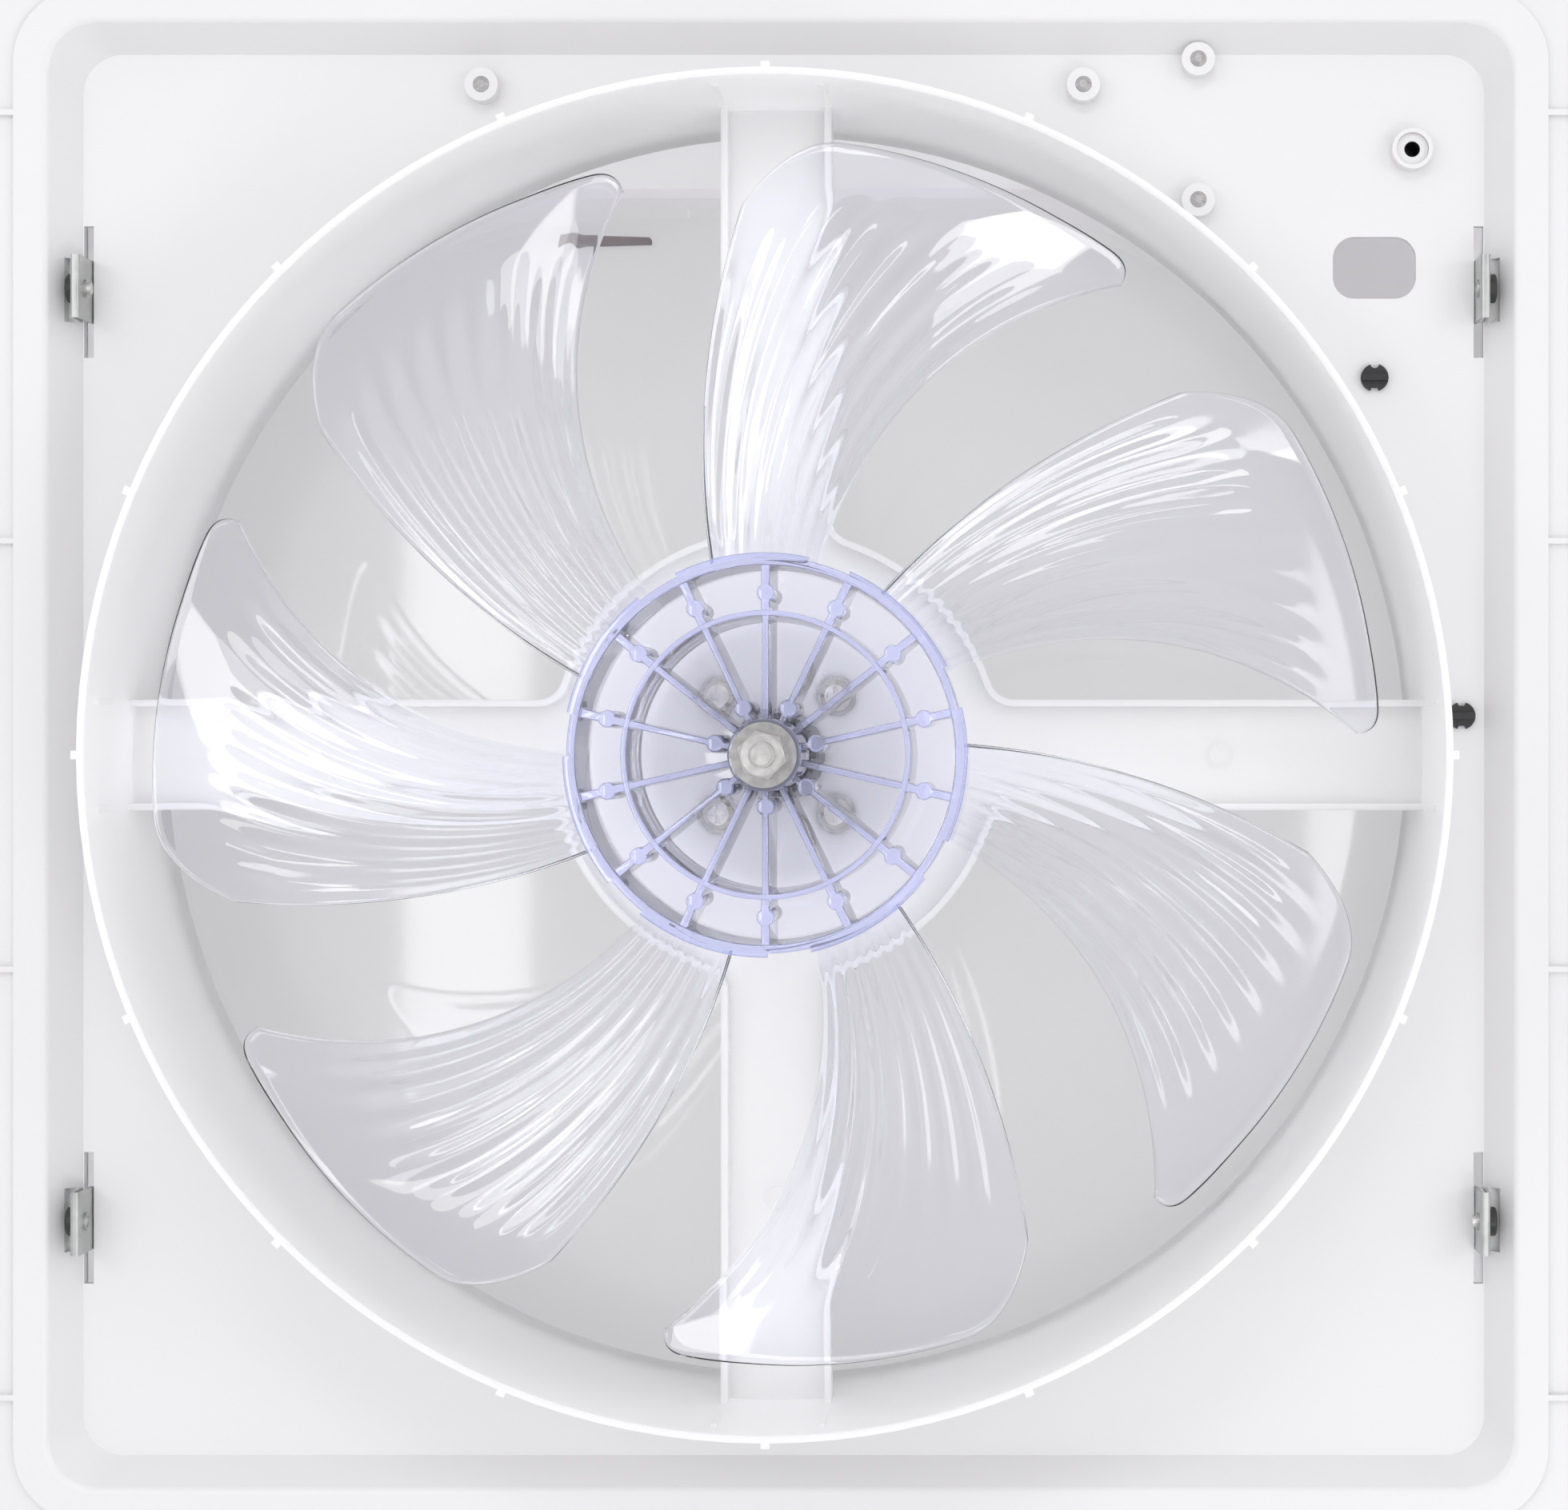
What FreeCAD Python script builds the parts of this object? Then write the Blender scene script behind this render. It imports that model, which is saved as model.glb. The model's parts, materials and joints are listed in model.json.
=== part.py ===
import FreeCAD, Part
import math
import os
import Sketcher

V = FreeCAD.Vector
X_AXIS = V(1, 0, 0)
Z_AXIS = V(0, 0, 1)

doc = FreeCAD.newDocument("roof_vent_fan")
sheet = doc.addObject("Spreadsheet::Sheet", "dims")

# Driving dimensions in millimetres and degrees.
# The roof surface is z = 0, outdoors is +Z and the fan axis is the Z axis.
DIMENSIONS = {
    # shared by many pieces: how far joined forms run into each other, and how far hole tools reach
    "overlap": 0.2, "hole_reach": 20,
    # roof flange and recess
    "flange_size": 436, "flange_corner": 22, "flange_thick": 3.0,
    "channel_inner": 376, "channel_outer": 428, "channel_depth": 1.8,
    "flange_rib_pitch": 105, "flange_rib_thick": 1.4,
    "flange_hole_span": 400, "flange_hole_mid": 133, "flange_hole_dia": 5.0, "flange_boss_radius": 5.0,
    "mouth_size": 360, "mouth_corner": 12, "mouth_round": 2.0, "recess_depth": 10,
    "floor_side": 347, "floor_corner": 10,
    "floor_thick": 2.5, "curb_outer": 366, "curb_wall": 3.0, "curb_corner": 15, "curb_top": 30,
    # fan shroud and motor carrier
    "ring_near_z": -50, "ring_far_z": 23, "ring_near_inner": 157.2, "ring_far_inner": 155.2,
    "ring_wall": 1.7, "shoulder_radius": 164.5, "shoulder_thick": 2.5, "ring_gap": 0.3,
    "tab_wide": 2.0, "tab_out": 1.3, "tab_high": 2.4, "tab_count": 16,
    "arm_wide": 26.6, "arm_rib": 1.6, "arm_face_z": -10, "arm_rib_z": -16, "arm_back_z": -7.5,
    "disc_radius": 54.4, "arm_fillet": 6.0, "wall_rib_deep": 0.7, "wall_rib_z": -42,
    "mark_radius": 106.8, "mark_dia": 7.1, "mark_pin_dia": 4.6, "mark_deep": 0.3,
    "ear_radius": 171, "ear_size": 7.0, "ear_thick": 2.5, "shroud_post": 6.0,
    # places and sizes on the pan floor
    "boss_radius": 4.1, "boss_high": 5.0, "floor_screw_dia": 4.0,
    "hinge_spread": 74.2, "hinge_screw_y": 165.3,
    "lift_screw_x": -102.5, "lift_screw_y_far": 171.6, "lift_screw_y_near": 136.9,
    "crank_x": -155.3, "crank_y": 149.5, "crank_boss_radius": 5.0, "crank_boss_high": 5.0,
    "crank_bore_dia": 8.0,
    "window_x": -146.3, "window_y": 120.7, "window_wide": 20.6, "window_high": 15.3, "window_corner": 5.3,
    "plug_a_x": -146.3, "plug_a_y": 93.4, "plug_b_x": -167.8, "plug_b_y": 9.7, "plug_hole_dia": 5.0,
    "slot_x": 170.9, "slot_wide": 2.4, "slot_long": 32.6, "clip_y": 114.7,
    "tongue_x": 171.9, "tongue_thick": 1.0, "tongue_long": 14.5, "tongue_high": 11.5,
    "pocket_x": 176.8, "pocket_long": 15.7, "pocket_high": 8.5, "shroud_screw_dia": 3.5,
    # motor
    "motor_radius": 30, "motor_back_z": 42, "motor_wall": 1.4, "bell_thick": 4.0,
    "motor_hole_span": 28, "motor_screw_dia": 4.0, "motor_head_dia": 7.4, "motor_washer_dia": 9.4,
    "shaft_dia": 6.0, "shaft_tip_z": -62, "tip_chamfer": 0.7,
    "bearing_radius": 8, "bearing_thick": 5, "fit_gap": 0.03,
    "head_high": 2.4, "head_cone": 1.0, "recess_deep": 1.2, "motor_screw_long": 8,
    "washer_sheet": 0.8, "magnet_inner": 21, "magnet_z": 3, "magnet_long": 20, "magnet_gap": 14,
    "stack_radius": 20.4, "stack_z": 4, "stack_long": 16, "stack_slots": 8, "winding_high": 4,
    "commutator_radius": 7.5, "commutator_long": 10, "riser_high": 1.2, "brush_wide": 5, "brush_high": 4,
    "brush_long": 12,
    # impeller
    "hub_radius": 45.9, "hub_near_z": -50, "hub_back_z": -21, "hub_wall": 2.0, "hub_web": 1.8,
    "hub_ring_radius": 33.5, "hub_ring_wall": 1.2, "hub_ring_draft": 0.7,
    "hub_boss_radius": 8.5, "hub_boss_z": -52.5, "hub_bore_root": 5.0,
    "hub_rib_thick": 1.5, "hub_rib_outer": 2.0, "hub_rib_z": -48.5, "hub_rib_count": 14,
    "pad_radius": 37.6, "inner_pad_radius": 12.0, "pad_dia": 4.1,
    "lip_deep": 0.9, "lip_high": 2.0, "lip_start": 26.5, "lip_span": 39,
    "blade_count": 7, "blade_thick": 1.7, "root_thick_share": 1.4, "tip_thick_share": 1.05,
    "blade_tip_radius": 143.9, "blade_lead_z": -47.5, "blade_lead_rise": 3.5, "blade_trail_z": -24,
    "blade_camber": 3.0, "root_lead_angle": -16.4, "root_trail_angle": 13.4,
    "tip_trail_angle": 38.4, "trail_sweep_power": 1.54,
    "lead_corner_share": 0.2, "lead_corner_drop": 16, "lead_corner_power": 2.6,
    "trail_corner_share": 0.12, "trail_corner_drop": 5.4, "trail_corner_power": 2.2, "trail_swell": 0.4,
    "flute_count": 7, "flute_deep": 0.7, "flute_first": 0.09,
    "flute_fade_start": 0.74, "flute_fade_end": 0.9,
    "collar_radius": 10, "collar_thick": 5.5, "collar_teeth": 18,
    "washer_radius": 7.6, "washer_thick": 1.5, "nut_flats": 10, "nut_thick": 5.2,
    # lid and hinges
    "lid_side": 394, "lid_corner": 26, "lid_low_z": 26, "lid_wall": 3.0,
    "lid_seat_z": 34.5, "lid_seat_side": 358, "lid_seat_corner": 18,
    "lid_flat_wide": 332, "lid_flat_front": -166, "lid_flat_rear": 145, "lid_flat_corner": 125,
    "lid_flat_z": 63, "bend_start": 0.9, "bend_in": 4,
    "hinge_y": 203, "hinge_z": 31, "hinge_eye": 4.2, "hinge_pin_dia": 4.0, "lug_wide": 6,
    "bracket_wide": 16, "bracket_thick": 2.5,
    "strap_x": 50.2, "strap_y": 134.6, "strap_long": 23.5, "strap_wide": 2.6, "strap_tip": 1.2,
    "strap_high": 6,
    # lid lift
    "socket_dia": 3.6, "socket_z": 6.5, "socket_deep": 12, "worm_radius": 3.5, "wheel_radius": 9,
    "wheel_wide": 6, "wheel_teeth": 30, "axle_dia": 6, "lift_z": 26, "box_wide": 12, "box_wall": 1.6,
    "box_top": 37, "foot_thick": 2.5, "arm_x": -164.6, "lift_arm_thick": 3, "lift_arm_wide": 9,
    "lift_arm_long": 70, "roller_radius": 4, "roller_pin_dia": 3, "track_x": -168.6, "track_thick": 3,
    "track_long": 46, "track_y": 102, "track_low_z": 17.5, "track_end": 7, "slot_high": 10.4,
    # side clips and plugs
    "clip_sheet": 0.6, "clip_gap": 0.1, "clip_bend": 0.9, "clip_high": 10, "clip_leg": 13.7,
    "clip_long": 15.5, "clip_collar_wall": 0.7, "clip_collar_high": 0.5,
    "clip_screw_z": 3.5, "clip_screw_dia": 3.0, "clip_tip": 1.5, "clip_head_dia": 7.2, "clip_head_high": 2.0,
    "clip_head_round": 0.7,
    "plug_dia": 6.8, "plug_disc": 1.6, "plug_bar": 1.4, "plug_barb": 2.4, "plug_notch": 1.1,
}


def fill_sheet():
    """One row per dimension: its name beside its value, with the name as alias."""
    for row, (name, value) in enumerate(DIMENSIONS.items(), start=1):
        sheet.set("A%d" % row, name)
        sheet.set("B%d" % row, str(value))
        sheet.setAlias("B%d" % row, name)
    doc.recompute()


def ref(text):
    """Turn dimension names in a formula into references to the sheet."""
    words = []
    word = ""
    for mark in text + " ":
        if mark.isalnum() or mark in "_.":
            word += mark
            continue
        words.append("dims." + word if word in DIMENSIONS else word)
        words.append(mark)
        word = ""
    return "".join(words).strip()


def size(text):
    """The value of a formula of dimension names."""
    value = sheet.evalExpression(ref(str(text)))
    return float(getattr(value, "Value", value))


def bind(thing, **formulas):
    """Bind properties of an object to formulas of the sheet."""
    for prop, text in formulas.items():
        thing.setExpression(prop, ref(str(text)))
    return thing


def place(thing, x="0", y="0", z="0"):
    """Bind the position of an object to three formulas."""
    for axis, text in zip("xyz", (x, y, z)):
        thing.setExpression("Placement.Base." + axis, ref(str(text)))
    return thing


def cylinder(radius, height, x="0", y="0", z="0", axis=None):
    """A cylinder from a base point, upright or along a given axis."""
    solid = bind(doc.addObject("Part::Cylinder", "cylinder"), Radius=radius, Height=height)
    if axis is not None:
        solid.Placement = FreeCAD.Placement(V(), FreeCAD.Rotation(Z_AXIS, axis))
    return place(solid, x, y, z)


def rod(radius, length, x, y, z):
    """A cylinder along X from its lower end."""
    return cylinder(radius, length, x, y, z, X_AXIS)


def box(length, width, height, x="0", y="0", z="0"):
    """A block centred on x and y that stands on z."""
    solid = bind(doc.addObject("Part::Box", "box"), Length=length, Width=width, Height=height)
    return place(solid, "%s - (%s) / 2" % (x, length), "%s - (%s) / 2" % (y, width), z)


def cone(radius_low, radius_high, height, x="0", y="0", z="0"):
    solid = doc.addObject("Part::Cone", "cone")
    return place(bind(solid, Radius1=radius_low, Radius2=radius_high, Height=height), x, y, z)


def fuse(*solids):
    joined = doc.addObject("Part::MultiFuse", "fuse")
    joined.Shapes = list(solids)
    joined.Refine = True
    return joined


def cut(base, *tools):
    tool = tools[0] if len(tools) == 1 else fuse(*tools)
    result = doc.addObject("Part::Cut", "cut")
    result.Base = base
    result.Tool = tool
    return result


def group(*solids):
    """Separate solids kept side by side in one node."""
    bundle = doc.addObject("Part::Compound", "group")
    bundle.Links = list(solids)
    return bundle


def fillet(base, radius, chosen):
    """Round the edges that the test picks."""
    doc.recompute()
    edges = [(i, radius, radius) for i, edge in enumerate(base.Shape.Edges, start=1) if chosen(edge)]
    rounded = doc.addObject("Part::Fillet", "rounded")
    rounded.Base = base
    rounded.Edges = edges
    return rounded


def new_body(name):
    return doc.addObject("PartDesign::Body", name)


def sketch_on(body, role, offset=None):
    """A sketch on one of the body's own origin planes, lifted along its normal."""
    sketch = body.newObject("Sketcher::SketchObject", "sketch")
    plane = next(item for item in body.Origin.OriginFeatures if item.Role == role)
    sketch.AttachmentSupport = [(plane, "")]
    sketch.MapMode = "FlatFace"
    if offset is not None:
        sketch.setExpression("AttachmentOffset.Base.z", ref(str(offset)))
    return sketch


def pins(geometry, end, x, y):
    """Rules that fix one end of a sketch element at two formulas."""
    pairs = (("DistanceX", x), ("DistanceY", y))
    return [(Sketcher.Constraint(kind, -1, 1, geometry, end, size(text)), text) for kind, text in pairs]


def hold(sketch, rules):
    """Add all rules at once and bind those that carry a formula."""
    indices = sketch.addConstraint([rule for rule, text in rules])
    for index, (rule, text) in zip(indices, rules):
        if text is not None:
            sketch.setExpression("Constraints[%d]" % index, ref(str(text)))


def polygon(sketch, points):
    """A closed chain of straight lines through points given as formulas."""
    first = sketch.GeometryCount
    spots = [V(size(x), size(y)) for x, y in points]
    count = len(points)
    sketch.addGeometry([Part.LineSegment(spots[i], spots[(i + 1) % count]) for i in range(count)])
    rules = []
    for i, (x, y) in enumerate(points):
        after = first + (i + 1) % count
        rules.append((Sketcher.Constraint("Coincident", first + i, 2, after, 1), None))
        rules += pins(first + i, 1, x, y)
    hold(sketch, rules)


def circle(sketch, x, y, radius):
    index = sketch.addGeometry(Part.Circle(V(size(x), size(y)), Z_AXIS, size(radius)))
    rules = pins(index, 3, x, y)
    rules.append((Sketcher.Constraint("Radius", index, size(radius)), radius))
    hold(sketch, rules)


def rounded_rectangle(sketch, wide, high, corner, x="0", y="0"):
    """Four corner arcs about a centre, joined by four tangent lines."""
    first = sketch.GeometryCount
    quarter = math.pi / 2
    arcs = []
    rules = []
    for turns, (sx, sy) in enumerate([(1, 1), (-1, 1), (-1, -1), (1, -1)]):
        middle_x = "(%s) + (%d) * ((%s) / 2 - (%s))" % (x, sx, wide, corner)
        middle_y = "(%s) + (%d) * ((%s) / 2 - (%s))" % (y, sy, high, corner)
        rim = Part.Circle(V(size(middle_x), size(middle_y)), Z_AXIS, size(corner))
        arcs.append(Part.ArcOfCircle(rim, turns * quarter, (turns + 1) * quarter))
        rules += pins(first + turns, 3, middle_x, middle_y)
    lines = [Part.LineSegment(arcs[i].EndPoint, arcs[(i + 1) % 4].StartPoint) for i in range(4)]
    sketch.addGeometry(arcs + lines)
    for i in range(4):
        line = first + 4 + i
        rules.append((Sketcher.Constraint("Tangent", first + i, 2, line, 1), None))
        rules.append((Sketcher.Constraint("Tangent", line, 2, first + (i + 1) % 4, 1), None))
    rules.append((Sketcher.Constraint("Radius", first, size(corner)), corner))
    hold(sketch, rules)


def pad(body, sketch, length, down=False):
    feature = body.newObject("PartDesign::Pad", "pad")
    feature.Profile = sketch
    feature.Reversed = down
    bind(feature, Length=length)
    return feature


def pocket(body, sketch, length, up=False):
    feature = body.newObject("PartDesign::Pocket", "pocket")
    feature.Profile = sketch
    feature.Reversed = up
    bind(feature, Length=length)
    return feature


def round_edges(body, feature, radius, chosen):
    """Round the edges of a body's feature that the test picks."""
    doc.recompute()
    names = ["Edge%d" % i for i, edge in enumerate(feature.Shape.Edges, start=1) if chosen(edge)]
    rounded = body.newObject("PartDesign::Fillet", "rounded")
    rounded.Base = (feature, names)
    return bind(rounded, Radius=radius)


def revolve(body, sketch, axis="V_Axis"):
    feature = body.newObject("PartDesign::Revolution", "revolution")
    feature.Profile = sketch
    feature.ReferenceAxis = (sketch, [axis])
    feature.Angle = 360
    return feature


def polar(body, features, count, axis="Z_Axis"):
    """Repeat features round one of the body's own axes."""
    pattern = body.newObject("PartDesign::PolarPattern", "pattern")
    pattern.Originals = features
    line = next(item for item in body.Origin.OriginFeatures if item.Role == axis)
    pattern.Axis = (line, [""])
    pattern.Angle = 360
    bind(pattern, Occurrences=count)
    body.Tip = pattern
    return pattern


NODES = []


def node(name, thing):
    """Name a finished sub-part."""
    thing.Label = name
    NODES.append((name, thing))
    return thing


fill_sheet()


# The four quarters of the pan, as signs of X and Y.
QUARTERS = [(1, 1), (1, -1), (-1, 1), (-1, -1)]


def square_sketch(body, side, corner, z=None):
    sketch = sketch_on(body, "XY_Plane", z)
    rounded_rectangle(sketch, side, side, corner)
    return sketch


def circles_sketch(body, spots, radius, z=None):
    sketch = sketch_on(body, "XY_Plane", z)
    for x, y in spots:
        circle(sketch, x, y, radius)
    return sketch


def block(sketch, x_low, x_high, y_low, y_high):
    polygon(sketch, [(x_low, y_low), (x_high, y_low), (x_high, y_high), (x_low, y_high)])


def flange_hole_spots():
    """Corner holes and the pairs between them on each side of the flange."""
    far = "flange_hole_span / 2"
    mid = "flange_hole_mid / 2"
    spots = []
    for sx in ("1", "-1"):
        for sy in ("1", "-1"):
            for x, y in ((far, far), (far, mid), (mid, far)):
                spots.append(("%s * %s" % (sx, x), "%s * %s" % (sy, y)))
    return spots


def hinge_spots():
    return [("hinge_spread", "hinge_screw_y"), ("-hinge_spread", "hinge_screw_y")]


def lift_spots():
    return [("lift_screw_x", "lift_screw_y_far"), ("lift_screw_x", "lift_screw_y_near")]


def plug_spots():
    return [("plug_a_x", "plug_a_y"), ("plug_b_x", "plug_b_y")]


def ear_spots():
    reach = math.sqrt(0.5)
    return [("%g * ear_radius" % (sx * reach), "%g * ear_radius" % (sy * reach)) for sx, sy in QUARTERS]


def add_clip_seats(body):
    """Floor slots with a tongue in each, and side pockets for the clips' outer legs and screws."""
    slots = sketch_on(body, "XY_Plane", "recess_depth + floor_thick")
    bridges = sketch_on(body, "XY_Plane", "recess_depth")
    tongues = sketch_on(body, "XY_Plane", "recess_depth")
    pockets = sketch_on(body, "XY_Plane")
    for sx, sy in QUARTERS:
        def patch(sketch, near, far, long):
            middle = "%d * clip_y" % sy
            block(sketch, "%d * (%s)" % (sx, near), "%d * (%s)" % (sx, far),
                  "%s - %s / 2" % (middle, long), "%s + %s / 2" % (middle, long))

        patch(slots, "slot_x", "slot_x + slot_wide", "slot_long")
        patch(bridges, "tongue_x", "slot_x + slot_wide + overlap", "tongue_long")
        patch(tongues, "tongue_x", "tongue_x + tongue_thick", "tongue_long")
        patch(pockets, "tongue_x + tongue_thick", "pocket_x", "pocket_long")
    pocket(body, slots, "floor_thick + 1")
    pocket(body, pockets, "pocket_high", up=True)
    pad(body, bridges, "floor_thick")
    pad(body, tongues, "tongue_high", down=True)
    for sign, inward in (("1", False), ("-1", True)):
        shanks = sketch_on(body, "YZ_Plane", sign + " * (tongue_x + tongue_thick + overlap)")
        for end in ("1", "-1"):
            circle(shanks, end + " * clip_y", "clip_screw_z", "clip_screw_dia / 2 + 0.2")
        pocket(body, shanks, "tongue_thick + 2 * overlap", up=inward)


def at_mouth(edge):
    """Whether an edge runs round the recess mouth on the roof surface."""
    half = size("mouth_size") / 2
    ends = [vertex.Point for vertex in edge.Vertexes]
    return all(abs(end.z) < 1e-6 and abs(max(abs(end.x), abs(end.y)) - half) < 0.01 for end in ends)


def make_base_pan():
    """Roof flange, sloped recess, floor and outdoor curb in one moulding."""
    body = new_body("base_pan_body")
    floor_low = "recess_depth"
    floor_top = "recess_depth + floor_thick"
    pad(body, square_sketch(body, "flange_size", "flange_corner"), "flange_thick")
    pad(body, square_sketch(body, "curb_outer", "curb_corner"), "curb_top")
    recess = body.newObject("PartDesign::SubtractiveLoft", "recess")
    recess.Profile = square_sketch(body, "mouth_size", "mouth_corner")
    recess.Sections = [square_sketch(body, "floor_side", "floor_corner", floor_low)]
    recess.Ruled = True
    round_edges(body, recess, "mouth_round", at_mouth)
    inner = square_sketch(body, "curb_outer - 2 * curb_wall", "curb_corner - curb_wall", "curb_top")
    pocket(body, inner, "curb_top - recess_depth - floor_thick")

    channel = square_sketch(body, "channel_outer", "flange_corner - 4")
    rounded_rectangle(channel, "channel_inner", "channel_inner", "curb_corner + 3")
    pocket(body, channel, "channel_depth", up=True)
    ribs = sketch_on(body, "XY_Plane")
    half = "flange_rib_thick / 2"
    for sign in ("1", "-1"):
        for step in ("-1.5", "-0.5", "0.5", "1.5"):
            middle = "%s * flange_rib_pitch" % step
            low, high = "%s - %s" % (middle, half), "%s + %s" % (middle, half)
            near, far = "%s * channel_inner / 2" % sign, "%s * channel_outer / 2" % sign
            block(ribs, near, far, low, high)
            block(ribs, low, high, near, far)
    pad(body, ribs, "channel_depth + overlap")
    screw_pads = circles_sketch(body, flange_hole_spots(), "flange_boss_radius")
    pad(body, screw_pads, "channel_depth + overlap")

    bosses = circles_sketch(body, hinge_spots() + lift_spots(), "boss_radius", floor_low)
    pad(body, bosses, "boss_high", down=True)
    crank_boss = circles_sketch(body, [("crank_x", "crank_y")], "crank_boss_radius", floor_low)
    pad(body, crank_boss, "crank_boss_high", down=True)
    posts = circles_sketch(body, ear_spots(), "ear_size - 1", floor_top)
    pad(body, posts, "shroud_post")

    duct = circles_sketch(body, [("0", "0")], "ring_near_inner + ring_wall + tab_out + ring_gap", floor_top)
    pocket(body, duct, "floor_thick + 1")
    screws = circles_sketch(body, hinge_spots() + lift_spots(), "floor_screw_dia / 2", floor_top)
    pocket(body, screws, "floor_thick + boss_high + 1")
    crank = circles_sketch(body, [("crank_x", "crank_y")], "crank_bore_dia / 2", floor_top)
    pocket(body, crank, "floor_thick + crank_boss_high + 1")
    plugs = circles_sketch(body, plug_spots(), "plug_hole_dia / 2", floor_top)
    pocket(body, plugs, "floor_thick + 1")
    ears = circles_sketch(body, ear_spots(), "shroud_screw_dia / 2", floor_top + " + shroud_post")
    pocket(body, ears, "shroud_post")
    window = sketch_on(body, "XY_Plane", floor_top)
    rounded_rectangle(window, "window_wide", "window_high", "window_corner", "window_x", "window_y")
    pocket(body, window, "floor_thick + 1")
    pocket(body, circles_sketch(body, flange_hole_spots(), "flange_hole_dia / 2", "flange_thick"),
           "flange_thick + 1")

    notches = sketch_on(body, "XY_Plane", floor_top)
    for sign in ("1", "-1"):
        block(notches, sign + " * hinge_spread - bracket_wide / 2 - 0.1",
              sign + " * hinge_spread + bracket_wide / 2 + 0.1",
              "curb_outer / 2 - curb_wall - 1", "curb_outer / 2 + 1")
    pocket(body, notches, "bracket_thick + 0.1", up=True)
    add_clip_seats(body)
    return node("base_pan", body)


def cross_block(inset, z_low, z_high):
    """The four arms and the centre disc as one filleted block."""
    wide = "arm_wide - 2 * (%s)" % inset
    high = "(%s) - (%s)" % (z_high, z_low)
    reach = "2 * ring_near_inner + 0.6"
    joined = fuse(box(reach, wide, high, z=z_low), box(wide, reach, high, z=z_low),
                  cylinder("disc_radius - (%s)" % inset, high, z=z_low))
    disc = size("disc_radius") - size(inset)
    half = size(wide) / 2

    def at_joint(edge):
        low, high_end = edge.Vertexes[0].Point, edge.Vertexes[-1].Point
        upright = abs(low.x - high_end.x) + abs(low.y - high_end.y) < 1e-6
        on_disc = abs(math.hypot(low.x, low.y) - disc) < 0.01
        return upright and on_disc and abs(min(abs(low.x), abs(low.y)) - half) < 0.01

    return fillet(joined, size("arm_fillet") + size(inset), at_joint)


def make_fan_shroud():
    """Tall tapered ring with its edge tabs, seat, screw ears and motor carrier."""
    ring = new_body("ring_body")
    profile = sketch_on(ring, "XZ_Plane")
    seat = "recess_depth + floor_thick"
    polygon(profile, [
        ("ring_near_inner", "ring_near_z"), ("ring_near_inner + ring_wall", "ring_near_z"),
        ("ring_near_inner + ring_wall", seat), ("shoulder_radius", seat),
        ("shoulder_radius", seat + " + shoulder_thick"),
        ("ring_far_inner + ring_wall", seat + " + shoulder_thick"),
        ("ring_far_inner + ring_wall", "ring_far_z"), ("ring_far_inner", "ring_far_z"),
    ])
    revolve(ring, profile)
    tab = sketch_on(ring, "XY_Plane", "ring_near_z")
    block(tab, "-tab_wide / 2", "tab_wide / 2",
          "ring_near_inner + ring_wall / 2", "ring_near_inner + ring_wall + tab_out")
    polar(ring, [pad(ring, tab, "tab_high")], "tab_count")

    plate = cut(cross_block("0", "arm_rib_z", "arm_back_z"),
                cross_block("arm_rib", "arm_rib_z - 1", "arm_face_z"))
    spots = motor_hole_spots()
    holes = [cylinder("motor_screw_dia / 2 + 0.2", "10", x, y, "arm_face_z - 1") for x, y in spots]
    holes.append(cylinder("bearing_radius + 3", "10", z="arm_face_z - 1"))
    holes += around(ejector_mark, 4)
    ears = around(shroud_ear, len(QUARTERS), 45.0)
    wall_ribs = []
    rib_high = "arm_rib_z - wall_rib_z"
    offset = "(arm_wide - arm_rib) / 2"
    for sx in ("1", "-1"):
        for sy in ("1", "-1"):
            along = "%s * (ring_near_inner - wall_rib_deep / 2)" % sx
            across = "%s * %s" % (sy, offset)
            wall_ribs.append(box("3 * wall_rib_deep", "arm_rib", rib_high, along, across, "wall_rib_z"))
            wall_ribs.append(box("arm_rib", "3 * wall_rib_deep", rib_high, across, along, "wall_rib_z"))
    shroud = cut(fuse(ring, plate, *ears, *wall_ribs), *holes)
    ear_holes = [cylinder("shroud_screw_dia / 2 + 0.2", "hole_reach", x, y, "recess_depth + floor_thick")
                 for x, y in ear_spots()]
    return node("fan_shroud", cut(shroud, *ear_holes))


def shroud_ear():
    """A screw ear that reaches out from the ring's shoulder along X."""
    seat = "recess_depth + floor_thick + shroud_post"
    inner = "ring_far_inner + ring_wall / 2"
    ear = plain_box("ear_radius - (%s)" % inner, "2 * ear_size", "ear_thick",
                    "(ear_radius + %s) / 2" % inner, "0", seat)
    return fuse(ear, plain_cylinder("ear_size", "ear_thick", "ear_radius", "0", seat))


def ejector_mark():
    """The shallow ring that a moulding pin leaves on an arm."""
    low, high = "arm_face_z - 1", "mark_deep + 1"
    disc = plain_cylinder("mark_dia / 2", high, "0", "0", low)
    mark = cut(disc, plain_cylinder("mark_pin_dia / 2", high, "0", "0", low))
    mark.Placement.Base = V(0, size("mark_radius"), 0)
    return mark


def motor_hole_spots():
    half = "motor_hole_span / 2"
    return [("%d * %s" % (sx, half), "%d * %s" % (sy, half)) for sx, sy in QUARTERS]


def around(make, count, start=0.0):
    """Copies of one solid turned about the fan axis from a first angle."""
    copies = []
    for step in range(count):
        solid = make()
        spin = FreeCAD.Placement(V(), FreeCAD.Rotation(Z_AXIS, start + 360.0 * step / count))
        solid.Placement = spin.multiply(solid.Placement)
        copies.append(solid)
    return copies


def plain_box(length, width, height, x, y, z):
    """A block with bound sizes whose place is free to be turned."""
    solid = bind(doc.addObject("Part::Box", "block"), Length=length, Width=width, Height=height)
    solid.Placement.Base = V(size(x) - size(length) / 2, size(y) - size(width) / 2, size(z))
    return solid


def plain_cylinder(radius, height, x, y, z):
    """A cylinder with bound sizes whose place is free to be turned."""
    solid = bind(doc.addObject("Part::Cylinder", "pin"), Radius=radius, Height=height)
    solid.Placement.Base = V(size(x), size(y), size(z))
    return solid


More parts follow.
